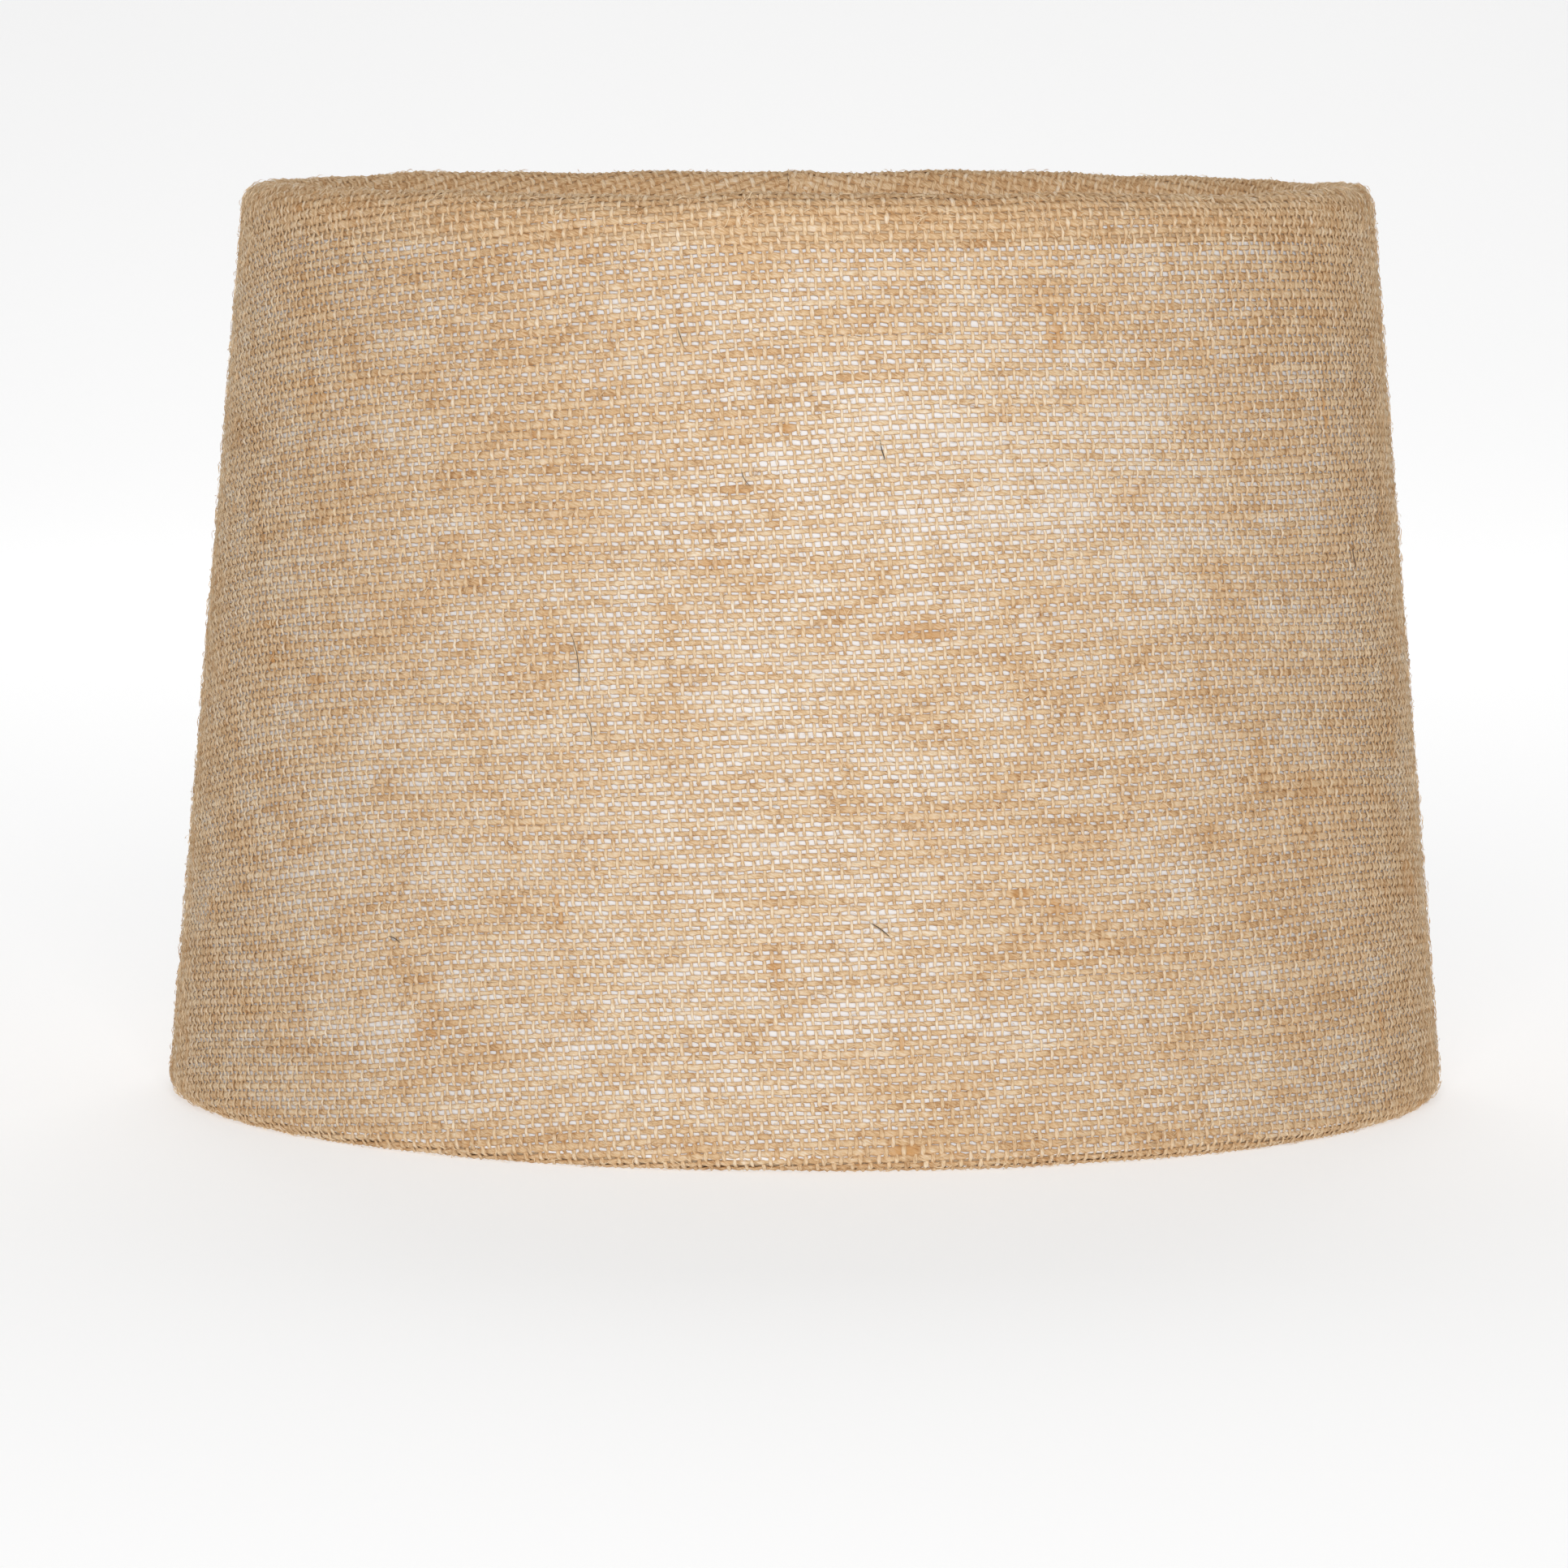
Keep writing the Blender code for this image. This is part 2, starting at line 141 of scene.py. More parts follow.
class ShaderGraph:
    """The nodes of one material, round its Principled shader."""

    def __init__(self, name: str) -> None:
        """Makes the material.

        Args:
            name: The material's name.
        """
        self.material = bpy.data.materials.new(name)
        self.material.use_nodes = True
        self.tree = self.material.node_tree
        self.shader = self.tree.nodes["Principled BSDF"]

    def add(self, kind: str, settings: dict | None = None, sockets: dict | None = None) -> bpy.types.Node:
        """Adds a node, sets it up, then feeds its sockets.

        Args:
            kind: The node's type.
            settings: Its properties; "stops" is a list of (position, colour) for its ramp.
            sockets: Numbers, colours, sockets or signals, by input name or index.

        Returns:
            The node.
        """
        node = self.tree.nodes.new(kind)
        for key, setting in (settings or {}).items():
            if key == "stops":
                self._set_stops(node.color_ramp, setting)
            else:
                setattr(node, key, setting)
        for key, given in (sockets or {}).items():
            self.feed(node.inputs[key], given)
        return node

    @staticmethod
    def _set_stops(ramp: bpy.types.ColorRamp, stops: Sequence[tuple[float, Colour]]) -> None:
        """Gives a ramp its stops.

        Args:
            ramp: The ramp to fill.
            stops: Its positions and colours, in order.
        """
        while len(ramp.elements) < len(stops):
            ramp.elements.new(1.0)
        for element, (position, colour) in zip(ramp.elements, stops):
            element.position = position
            element.color = (*colour, 1.0)

    def feed(self, socket: bpy.types.NodeSocket, given: object) -> None:
        """Links a signal or a socket to an input, or sets its number or colour.

        Args:
            socket: The input.
            given: What goes in.
        """
        if isinstance(given, Signal):
            self.tree.links.new(given.socket, socket)
        elif isinstance(given, bpy.types.NodeSocket):
            self.tree.links.new(given, socket)
        elif isinstance(given, tuple) and socket.type == "RGBA":
            socket.default_value = (*given, 1.0)
        else:
            socket.default_value = given

    def value(self, kind: str, settings: dict | None = None, sockets: dict | None = None) -> Signal:
        """The first output of a new node, as a signal."""
        return Signal(self, self.add(kind, settings, sockets).outputs[0])

    def attribute(self, name: str) -> Signal:
        """A number stored on the mesh."""
        return Signal(self, self.add("ShaderNodeAttribute", {"attribute_name": name}).outputs["Fac"])

    def stored_vector(self, name: str) -> bpy.types.NodeSocket:
        """A vector stored on the mesh."""
        return self.add("ShaderNodeAttribute", {"attribute_name": name}).outputs["Vector"]

    def place(self) -> bpy.types.NodeSocket:
        """The point on the object, in metres."""
        return self.add("ShaderNodeTexCoord").outputs["Object"]

    def stretched(self, vector: bpy.types.NodeSocket, scale: Colour) -> bpy.types.NodeSocket:
        """A vector scaled along each axis.

        Args:
            vector: The vector.
            scale: The three factors.

        Returns:
            The scaled vector's socket.
        """
        return self.add("ShaderNodeMapping", {}, {"Vector": vector, "Scale": scale}).outputs[0]

    def noise(
        self, vector: bpy.types.NodeSocket, scale: float, detail: float = 2.0, rough: float = 0.5
    ) -> Signal:
        """Soft noise from 0 to 1.

        Args:
            vector: Where it is read.
            scale: Its frequency.
            detail: How many finer layers it has.
            rough: How strong those are.

        Returns:
            The noise.
        """
        sockets = {"Vector": vector, "Scale": scale, "Detail": detail, "Roughness": rough}
        return self.value("ShaderNodeTexNoise", {}, sockets)

    def mix(self, share: Signal | float, first: object, second: object) -> bpy.types.NodeSocket:
        """A blend of two colours.

        Args:
            share: How much of the second there is.
            first: The first colour.
            second: The second colour.

        Returns:
            The blended colour's socket.
        """
        return self.add("ShaderNodeMix", {"data_type": "RGBA"}, {0: share, 6: first, 7: second}).outputs[2]

    def bump(self, height: Signal, distance: float, strength: float = 1.0) -> None:
        """Raises the surface by a height from 0 to 1.

        Args:
            height: The height.
            distance: How far 1 stands out, in metres.
            strength: How much of it shows.
        """
        sockets = {"Height": height, "Distance": distance, "Strength": strength}
        self.feed(self.shader.inputs["Normal"], self.add("ShaderNodeBump", {}, sockets).outputs[0])

    def surface(self, **sockets: object) -> bpy.types.Material:
        """Feeds the shader and hands over the material.

        Args:
            **sockets: The shader's inputs, with _ for a space.

        Returns:
            The material.
        """
        for name, given in sockets.items():
            self.feed(self.shader.inputs[name.replace("_", " ")], given)
        return self.material


# Finishes


@dataclass(frozen=True)
class JuteFinish:
    """Natural jute thread: pale and deep fibres along it, rusty slubs, and painted shade on its flanks."""

    name: str
    deep: Colour
    middle: Colour
    pale: Colour
    rust: Colour = (0.58, 0.27, 0.075)

    def material(self) -> bpy.types.Material:
        """Builds the material, which reads the threads' tone, warmth, arch and loom attributes.

        Returns:
            The material.
        """
        graph = ShaderGraph(self.name)
        loom = graph.stored_vector("loom")
        fibres = graph.noise(graph.stretched(loom, (0.50, 2.3, 1.0)), 1.0, 4.0, 0.66)
        clumps = graph.noise(graph.stretched(loom, (0.30, 0.9, 1.0)), 1.0, 2.0)
        tone = graph.attribute("tone") + (fibres - 0.5) * 1.9 + (clumps - 0.5) * 0.7
        stops = [(0.0, self.deep), (0.5, self.middle), (1.0, self.pale)]
        straw = graph.add("ShaderNodeValToRGB", {"stops": stops}, {0: tone}).outputs[0]
        rusted = graph.mix(graph.attribute("warmth") + (clumps - 0.5) * 0.25, straw, self.rust)
        # Painted shade: each thread is darkened towards its edges, where it meets its neighbours.
        flank_shade = graph.attribute("arch").ramp(0.0, 0.50, 0.72, 0.0)
        coloured = graph.mix(flank_shade, rusted, self.deep)
        graph.bump(fibres, 0.25 * MM, 1.0)
        graph.shader.inputs["Specular IOR Level"].default_value = 0.15
        return graph.surface(Base_Color=coloured, Roughness=0.95 - fibres * 0.3)


@dataclass(frozen=True)
class FibreFinish:
    """Single loose fibres, from pale straw to rust."""

    name: str
    pale: Colour = (0.88, 0.70, 0.47)
    deep: Colour = (0.50, 0.27, 0.10)

    def material(self) -> bpy.types.Material:
        """Builds the material.

        Returns:
            The material.
        """
        graph = ShaderGraph(self.name)
        change = graph.noise(graph.place(), 160.0, 1.0).ramp(0.35, 0.75)
        return graph.surface(Base_Color=graph.mix(change, self.pale, self.deep), Roughness=0.7)


@dataclass(frozen=True)
class LinerFinish:
    """White plastic sheet with a faint mottle and a satin face."""

    name: str = "white liner"
    colour: Colour = (0.90, 0.875, 0.86)
    shade: Colour = (0.86, 0.825, 0.80)

    def material(self) -> bpy.types.Material:
        """Builds the material.

        Returns:
            The material.
        """
        graph = ShaderGraph(self.name)
        place = graph.place()
        mottle = graph.noise(place, 60.0, 3.0)
        grain = graph.noise(place, 1400.0, 2.0)
        graph.bump(grain, 0.03 * MM, 0.5)
        colour = graph.mix(mottle, self.shade, self.colour)
        return graph.surface(Base_Color=colour, Roughness=0.46 + mottle * 0.16)


@dataclass(frozen=True)
class CoatFinish:
    """Powder coat on steel: an orange-peel skin, with patches of grime."""

    name: str = "white powder coat"
    colour: Colour = (0.83, 0.83, 0.81)
    grime: Colour = (0.60, 0.58, 0.54)

    def material(self) -> bpy.types.Material:
        """Builds the material.

        Returns:
            The material.
        """
        graph = ShaderGraph(self.name)
        place = graph.place()
        peel = graph.noise(place, 900.0, 2.0)
        patches = graph.noise(place, 35.0, 4.0, 0.6)
        graph.bump(peel, 0.05 * MM, 0.6)
        colour = graph.mix(patches.ramp(0.55, 0.85, 0.0, 0.35), self.colour, self.grime)
        return graph.surface(Base_Color=colour, Roughness=0.30 + patches * 0.2)


@dataclass(frozen=True)
class ZincFinish:
    """Zinc-plated steel, brushed by the press that set it."""

    name: str = "zinc plate"
    colour: Colour = (0.66, 0.66, 0.67)
    dull: Colour = (0.45, 0.44, 0.43)

    def material(self) -> bpy.types.Material:
        """Builds the material.

        Returns:
            The material.
        """
        graph = ShaderGraph(self.name)
        place = graph.place()
        marks = graph.noise(graph.stretched(place, (1.0, 6.0, 1.0)), 700.0, 3.0, 0.6)
        graph.bump(marks, 0.03 * MM, 0.5)
        colour = graph.mix(marks, self.dull, self.colour)
        return graph.surface(Base_Color=colour, Metallic=1.0, Roughness=0.26 + marks * 0.22)


@dataclass(frozen=True)
class MouldedFinish:
    """Moulded plastic with a fine spark texture."""

    name: str
    colour: Colour
    rough: float

    def material(self) -> bpy.types.Material:
        """Builds the material.

        Returns:
            The material.
        """
        graph = ShaderGraph(self.name)
        place = graph.place()
        spark = graph.noise(place, 1800.0, 2.0)
        flow = graph.noise(place, 45.0, 2.0)
        darker = tuple(0.93 * part for part in self.colour)
        graph.bump(spark, 0.03 * MM, 0.6)
        colour = graph.mix(flow, darker, self.colour)
        return graph.surface(Base_Color=colour, Roughness=self.rough + flow * 0.12)


WARP_JUTE = JuteFinish("warp jute", (0.46, 0.25, 0.11), (0.83, 0.62, 0.385), (0.97, 0.87, 0.72))
WEFT_JUTE = JuteFinish("weft jute", (0.43, 0.22, 0.09), (0.785, 0.565, 0.335), (0.94, 0.83, 0.67))


# Mesh helpers


def turned(
    outline: Sequence[Vector], steps: int, axis: Vector = Vector((0, 0, 1)), open_ends: bool = False
) -> bmesh.types.BMesh:
    """Spins an outline round an axis through the origin.

    Args:
        outline: Its points, as (radius, place along the axis).
        steps: How many steps the turn has.
        axis: The axis.
        open_ends: Whether the outline starts and ends on the axis.

    Returns:
        The bmesh.
    """
    shape = bmesh.new()
    corners = [shape.verts.new(Vector((0, p.x, 0)) + axis * p.y) for p in outline]
    ends = corners[1:] if open_ends else corners[1:] + corners[:1]
    edges = [shape.edges.new(pair) for pair in zip(corners, ends)]
    bmesh.ops.spin(
        shape, geom=corners + edges, cent=(0, 0, 0), axis=axis, angle=math.tau, steps=steps, use_merge=True
    )
    return shape


def filleted(corners: Sequence[tuple[float, float, float]], steps: int = 4) -> list[Vector]:
    """Rounds the corners of a closed outline.

    Args:
        corners: Radius, place along the axis, and how far from the corner its rounding starts.
        steps: How many steps a rounding has.

    Returns:
        The outline.
    """
    line = []
    for i, (x, y, cut) in enumerate(corners):
        corner = Vector((x, y))
        if cut == 0:
            line.append(corner)
            continue
        before, after = (Vector(corners[(i + k) % len(corners)][:2]) - corner for k in (-1, 1))
        start, end = (corner + way.normalized() * min(cut, way.length / 2) for way in (before, after))
        for t in (k / steps for k in range(steps + 1)):
            line.append(start.lerp(corner, t).lerp(corner.lerp(end, t), t))
    return line


def finished(name: str, shape: bmesh.types.BMesh, finish: bpy.types.Material) -> bpy.types.Object:
    """Turns a bmesh into a smooth, linked piece with its faces pointing out.

    Args:
        name: The piece's name.
        shape: The bmesh, which is freed.
        finish: Its material.

    Returns:
        The piece.
    """
    bmesh.ops.remove_doubles(shape, verts=shape.verts, dist=1e-6)
    bmesh.ops.recalc_face_normals(shape, faces=shape.faces)
    mesh = bpy.data.meshes.new(name)
    shape.to_mesh(mesh)
    shape.free()
    mesh.shade_smooth()
    mesh.set_sharp_from_angle(angle=math.radians(35))
    mesh.materials.append(finish)
    piece = bpy.data.objects.new(name, mesh)
    bpy.context.scene.collection.objects.link(piece)
    return piece


def placed(piece: bpy.types.Object, slot: str, body: Body, *nodes: str) -> bpy.types.Object:
    """Puts a piece on its body and hides the nodes that it stands for.

    Args:
        piece: The piece.
        slot: The record's material slot; not used.
        body: The body that it rides on.
        *nodes: The nodes that it replaces.

    Returns:
        The piece.
    """
    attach(piece, body.value)
    if nodes:
        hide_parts(*nodes)
    LOG.info("%s: %d faces", piece.name, len(piece.data.polygons))
    return piece


def add_bead(shape: bmesh.types.BMesh, place: Sequence[float], size: Sequence[float]) -> None:
    """Adds a weld bead, a squashed ball.

    Args:
        shape: The bmesh that it is added to.
        place: Its centre.
        size: Its half lengths.
    """
    ball = bmesh.ops.create_icosphere(shape, subdivisions=3, radius=1.0)["verts"]
    for vertex in ball:
        vertex.co *= 1 + 0.05 * math.sin(5 * vertex.co.x + 3 * vertex.co.y) * math.cos(4 * vertex.co.z)
    bmesh.ops.scale(shape, vec=size, verts=ball)
    bmesh.ops.translate(shape, vec=place, verts=ball)


# The shade's shape


@dataclass(frozen=True)
class DrumShape:
    """The cone that the cloth lies on, and the rings that it turns round."""

    low_ring: Vector
    high_ring: Vector
    wire: float
    inset: float
    height: float
    cloth: float = 1.2 * MM
    gap: float = 0.3 * MM

    @classmethod
    def from_frame(cls) -> "DrumShape":
        """Reads the shape from the frame's boxes.

        Returns:
            The shape.
        """
        cover, low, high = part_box("jute_cover"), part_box("bottom_ring"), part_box("top_ring")
        wire = low[1].z - low[0].z
        low_ring = Vector((low[1].x - wire / 2, (low[0].z + low[1].z) / 2))
        high_ring = Vector((high[1].x - wire / 2, (high[0].z + high[1].z) / 2))
        return cls(low_ring, high_ring, wire, cover[1].x - low_ring.x, cover[1].z)

    @property
    def slope(self) -> float:
        """How much the radius changes for each metre of height."""
        return (self.high_ring.x - self.low_ring.x) / (self.high_ring.y - self.low_ring.y)

    @property
    def sine(self) -> float:
        """The sine of the cone's half angle, which is also the share of a turn that it unrolls to."""
        return -self.slope / math.hypot(1.0, self.slope)

    def wall(self, inset: float, z: float) -> Vector:
        """The point that far behind the cloth's face.

        Args:
            inset: How far inside the face.
            z: The height.

        Returns:
            The point as (radius, height).
        """
        return Vector((self.low_ring.x + self.inset + self.slope * (z - self.low_ring.y) - inset, z))


def arc(centre: Vector, across: float, up: float, first: float, last: float, steps: int = 10) -> list[Vector]:
    """Points along part of an ellipse.

    Args:
        centre: Its centre, as (radius, height).
        across: Its half width.
        up: Its half height, below 0 to mirror it.
        first: The first angle, in degrees.
        last: The last angle, in degrees.
        steps: How many steps there are.

    Returns:
        The points, both ends included.
    """
    angles = [math.radians(first + (last - first) * i / steps) for i in range(steps + 1)]
    return [Vector((centre.x + across * math.cos(a), centre.y + up * math.sin(a))) for a in angles]


class ClothPath:
    """The line that the middle of the cloth follows in a section, from the bottom's raw edge to the top's.

    Attributes:
        wrap_end: The angle at which the cloth leaves a ring, in degrees from the outside.
        wrap_join: How far from the ring it is flat again, in times the bulge.
        second_turn: How far behind the first layer the cloth's second turn at the top is.
    """

    wrap_end = 215
    wrap_join = 1.4
    second_turn = 1.15 * MM

    def __init__(
        self,
        drum: DrumShape,
        turn_in: float = 13.2 * MM,
        crest: float = 6.0 * MM,
        rise: float = 7.0 * MM,
        foot: float = 5.0 * MM,
    ) -> None:
        """Lays the line out.

        Args:
            drum: The shade's shape.
            turn_in: How deep the cloth is turned in past each ring.
            crest: How far in from the wall the top rim's highest point is.
            rise: How far below that point the wall ends.
            foot: How far above its lowest point the wall starts.
        """
        self.drum = drum
        middle = drum.cloth / 2
        low, high = (drum.low_ring, -1, drum.cloth), (drum.high_ring, 1, 2 * drum.cloth)
        bottom = self._hem(*low, drum.inset, foot, turn_in, middle)
        top = self._hem(*high, crest, rise, turn_in, middle)
        top += reversed(self._hem(*high, crest, rise, turn_in, middle + self.second_turn)[3:])
        self.points = np.array([tuple(p) for p in [*reversed(bottom), *top]])
        steps = np.hypot(*np.diff(self.points, axis=0).T)
        self.along = np.concatenate([[0.0], np.cumsum(steps)])
        self.length = float(self.along[-1])
        self.wall_start = float(self.along[len(bottom) - 1])
        self.wall_end = float(self.along[len(bottom)])
        tangents = np.gradient(self.points, self.along, axis=0)
        tangents /= np.linalg.norm(tangents, axis=1)[:, None]
        self.normals = np.column_stack([tangents[:, 1], -tangents[:, 0]])
        self.middle, self.reach = (self.wall_start + self.wall_end) / 2, (self.wall_end - self.wall_start) / 2
        start = self.points[len(bottom) - 1]
        self.start_slant = float(start[0] / drum.sine + self.wall_start)

    def _hem(
        self, ring: Vector, up: int, thick: float, crest: float, rise: float, turn_in: float, middle: float
    ) -> list[Vector]:
        """The line round one ring, from the wall to the raw edge.

        Args:
            ring: The wire's centre.
            up: 1 at the top and -1 at the bottom.
            thick: How thick the turned cloth is.
            crest: How far in from the wall the outermost point is.
            rise: How far from that point the wall ends.
            turn_in: How deep the cloth is turned in.
            middle: Half a cloth.

        Returns:
            The points.
        """
        bulge = self.drum.wire / 2 + self.drum.gap + thick
        crest_z = ring.y + up * bulge
        corner = self.drum.wall(0, crest_z - up * rise)
        line = arc(Vector((corner.x - crest, corner.y)), crest - middle, up * (rise - middle), 0, 90)
        over = corner.x - crest - (ring.x - bulge) - middle
        line += arc(Vector((corner.x - crest, ring.y)), over, up * (bulge - middle), 90, self.wrap_end)[1:]
        inset = self.drum.inset - self.drum.wire / 2 + thick - middle
        line.append(self.drum.wall(inset, ring.y - up * self.wrap_join * bulge))
        line.append(self.drum.wall(inset, ring.y - up * turn_in))
        return line

    def flat(self, turn: float, height: float) -> np.ndarray:
        """The flat place of a point on the wall.

        Args:
            turn: Its angle from the front, in degrees, towards +X.
            height: Its height.

        Returns:
            The place as (right, up).
        """
        climb = (height - self.drum.low_ring.y) * math.hypot(1, self.drum.slope)
        slant = self.start_slant - self.wall_start - climb
        angle = math.radians(turn) * self.drum.sine
        return slant * np.array([math.sin(angle), -math.cos(angle)])

    def at(self, along: np.ndarray) -> tuple[np.ndarray, np.ndarray, np.ndarray, np.ndarray]:
        """The line's place and outward direction.

        Args:
            along: Distances along the line, in metres.

        Returns:
            Radius, height, and the direction's radial and vertical parts.
        """
        radius, z = (np.interp(along, self.along, self.points[:, i]) for i in (0, 1))
        out, rise = (np.interp(along, self.along, self.normals[:, i]) for i in (0, 1))
        size = np.hypot(out, rise)
        return radius, z, out / size, rise / size


# Weaving


@dataclass(frozen=True)
class Spot:
    """A place on the wall: degrees from the front, height, and half its width and height."""

    turn: float
    height: float
    wide: float
    tall: float


RUST_PATCHES = [
    Spot(10.5, 137 * MM, 9.0 * MM, 2.2 * MM),
    Spot(24.0, 213 * MM, 1.6 * MM, 4.5 * MM),
    Spot(-9.0, 155 * MM, 5.0 * MM, 1.6 * MM),
    Spot(-2.0, 51 * MM, 1.6 * MM, 5.0 * MM),
    Spot(23.0, 66 * MM, 5.0 * MM, 1.8 * MM),
    Spot(-35.0, 30 * MM, 4.0 * MM, 3.0 * MM),
    Spot(-70.0, 55 * MM, 6.0 * MM, 2.0 * MM),
    Spot(75.0, 60 * MM, 7.0 * MM, 2.0 * MM),
    Spot(-150.0, 120 * MM, 8.0 * MM, 2.0 * MM),
    Spot(140.0, 90 * MM, 3.0 * MM, 4.0 * MM),
]
THIN_PATCHES = [
    Spot(-17.0, 221 * MM, 22 * MM, 24 * MM),
    Spot(12.0, 181 * MM, 17 * MM, 18 * MM),
    Spot(-15.5, 129 * MM, 14 * MM, 15 * MM),
    Spot(1.5, 105 * MM, 24 * MM, 20 * MM),
    Spot(12.5, 41 * MM, 28 * MM, 14 * MM),
    Spot(-16.5, 61 * MM, 9 * MM, 20 * MM),
    Spot(-5.0, 18 * MM, 30 * MM, 8 * MM),
]
DARK_FIBRES = [
    Spot(-21.2, 128 * MM, 1.6 * MM, 8.0 * MM),
    Spot(-19.8, 111 * MM, 1.5 * MM, 5.0 * MM),
    Spot(-12.0, 211 * MM, 1.0 * MM, 2.5 * MM),
    Spot(7.0, 183 * MM, 0.8 * MM, 3.0 * MM),
    Spot(-5.6, 176 * MM, 1.2 * MM, 2.5 * MM),
    Spot(-48.0, 228 * MM, 1.2 * MM, 1.5 * MM),
    Spot(6.5, 61 * MM, 3.0 * MM, 2.0 * MM),
    Spot(-39.0, 54 * MM, 2.5 * MM, 0.8 * MM),
    Spot(64.0, 150 * MM, 1.0 * MM, 3.0 * MM),
    Spot(118.0, 70 * MM, 2.0 * MM, 5.0 * MM),
    Spot(-125.0, 170 * MM, 1.0 * MM, 4.0 * MM),
]


def drift(rng: np.random.Generator, shape: tuple[int, int], reach: float) -> np.ndarray:
    """Random numbers that wander along each row, with a spread of 1.

    Args:
        rng: The random source.
        shape: Rows and columns.
        reach: How many columns a wander lasts.

    Returns:
        The numbers.
    """
    white = rng.standard_normal(shape)
    waves = np.fft.rfftfreq(shape[1]) * reach
    smooth = np.fft.irfft(np.fft.rfft(white, axis=1) * np.exp(-((2.0 * waves) ** 2)), shape[1], axis=1)
    return smooth / smooth.std()


def patches(rng: np.random.Generator, shape: tuple[int, int], reach: tuple[float, float]) -> np.ndarray:
    """Random numbers that change softly both ways, with a spread of 1.

    Args:
        rng: The random source.
        shape: Rows and columns.
        reach: How many rows and columns a patch lasts.

    Returns:
        The numbers.
    """
    rows, columns = np.fft.fftfreq(shape[0])[:, None] * reach[0], np.fft.rfftfreq(shape[1])[None] * reach[1]
    waves = np.fft.rfft2(rng.standard_normal(shape)) * np.exp(-4.0 * (rows**2 + columns**2))
    smooth = np.fft.irfft2(waves, shape)
    return smooth / smooth.std()


@dataclass
class Weave:
    """Plain-woven jute laid flat: where the threads cross, how thick they are, and their colours."""

    path: ClothPath
    pitch: float = 2.33 * MM
    grain: float = math.radians(2.6)
    skew: float = math.radians(9.3)
    lap: float = 7.0 * MM
    fold_under: float = 6.0 * MM
    front_lift: float = 2.3 * MM
    seed: int = 11
    width: dict = field(default_factory=lambda: {Thread.WARP: 1.00 * MM, Thread.WEFT: 1.54 * MM})
    lift: dict = field(default_factory=lambda: {Thread.WARP: 0.40 * MM, Thread.WEFT: 0.24 * MM})

    def __post_init__(self) -> None:
        """Numbers the threads that the cut needs, and lets each one wander."""
        self.rng = np.random.default_rng(self.seed)
        self._number_threads()
        k = np.arange(self.low[0], self.high[0] + 1)[:, None]
        j = np.arange(self.low[1], self.high[1] + 1)[None, :]
        self.over = np.where((k + j) % 2 == 0, 1.0, -1.0)
        self.places = k[..., None] * self.right + j[..., None] * self.up
        side, rise = self._strayed()
        self._vary()
        step = self.pitch / math.cos(self.skew)
        unit_right, unit_up = self.right / step, self.up / step
        self.places = self.places + side[..., None] * unit_right + rise[..., None] * unit_up
        self._ripple()

    def _number_threads(self) -> None:
        """Works out the loom's two directions, the seam, and which threads the cut reaches."""
        drum = self.path.drum
        lean = self.grain + self.skew
        step = self.pitch / math.cos(self.skew)
        self.right = step * np.array([math.cos(self.grain), math.sin(self.grain)])
        self.up = step * np.array([-math.sin(lean), math.cos(lean)])
        radius = drum.low_ring.x
        self.first_turn = -math.pi - 2 * MM / radius
        self.fold_turn = math.pi + self.lap / radius
        self.last_turn = self.fold_turn + self.fold_under / radius
        turns = np.linspace(self.first_turn, self.last_turn, 90)
        slants = self.path.start_slant - np.array([0.0, self.path.length])
        angles, slants = np.meshgrid(turns * drum.sine, slants)
        corners = np.stack([slants * np.sin(angles), -slants * np.cos(angles)], axis=-1).reshape(-1, 2)
        counts = np.linalg.solve(np.column_stack([self.right, self.up]), corners.T)
        self.low = np.floor(counts.min(axis=1)).astype(int) - 1
        self.high = np.ceil(counts.max(axis=1)).astype(int) + 1
        self.warps, self.wefts = (int(n) for n in self.high - self.low + 1)

    def _strayed(self) -> tuple[np.ndarray, np.ndarray]:
        """How far each crossing strays from the even loom.

        Returns:
            How far it is to the right and up, by warp and weft.
        """
        rng, across, down = self.rng, (self.warps, self.wefts), (self.wefts, self.warps)
        side = drift(rng, across, 16) * 0.09 * MM + rng.standard_normal((self.warps, 1)) * 0.07 * MM
        rise = (drift(rng, down, 14) * 0.08 * MM + rng.standard_normal((self.wefts, 1)) * 0.05 * MM).T
        side += rng.standard_normal(across) * 0.07 * MM
        rise += rng.standard_normal(across) * 0.07 * MM
        return side, rise

    def _vary(self) -> None:
        """Chooses where the cloth is denser or thinner and where it is rusty, and paints shade near the top
        rim and away from the front.
        """
        rng, across = self.rng, (self.warps, self.wefts)
        self.density_and_shade = 0.40 * patches(rng, across, (7, 3.5)) + 0.5 * patches(rng, across, (3, 1.2))
        self.density_and_shade += 0.30 * patches(rng, across, (26, 22))
        along = self._along(self.places)
        # Painted shade: the last 35 mm below the top rim are made denser, darker and warmer.
        self.density_and_shade += 0.7 * np.clip(1 - (self.path.wall_end - along) / (35 * MM), 0, 1)
        past = np.abs(along - self.path.middle) - self.path.reach
        self.density_and_shade += 1.2 * np.clip(past / (4 * MM) + 1.25, 0, 1) + 1.6 * np.clip(past / (4 * MM) - 1, 0, 1)
        # Painted shade: round the sides and the back, away from the front, the cloth is made denser, darker
        # and warmer.
        self.density_and_shade += 1.4 * np.clip(1 - np.cos(self._turn(self.places)), 0, 1)
        spread = 0.75 + 0.25 * rng.standard_normal(across)
        self.rusty = sum(self._near(place) for place in RUST_PATCHES) * spread
        self.density_and_shade -= 0.9 * sum(self._near(place) for place in THIN_PATCHES)

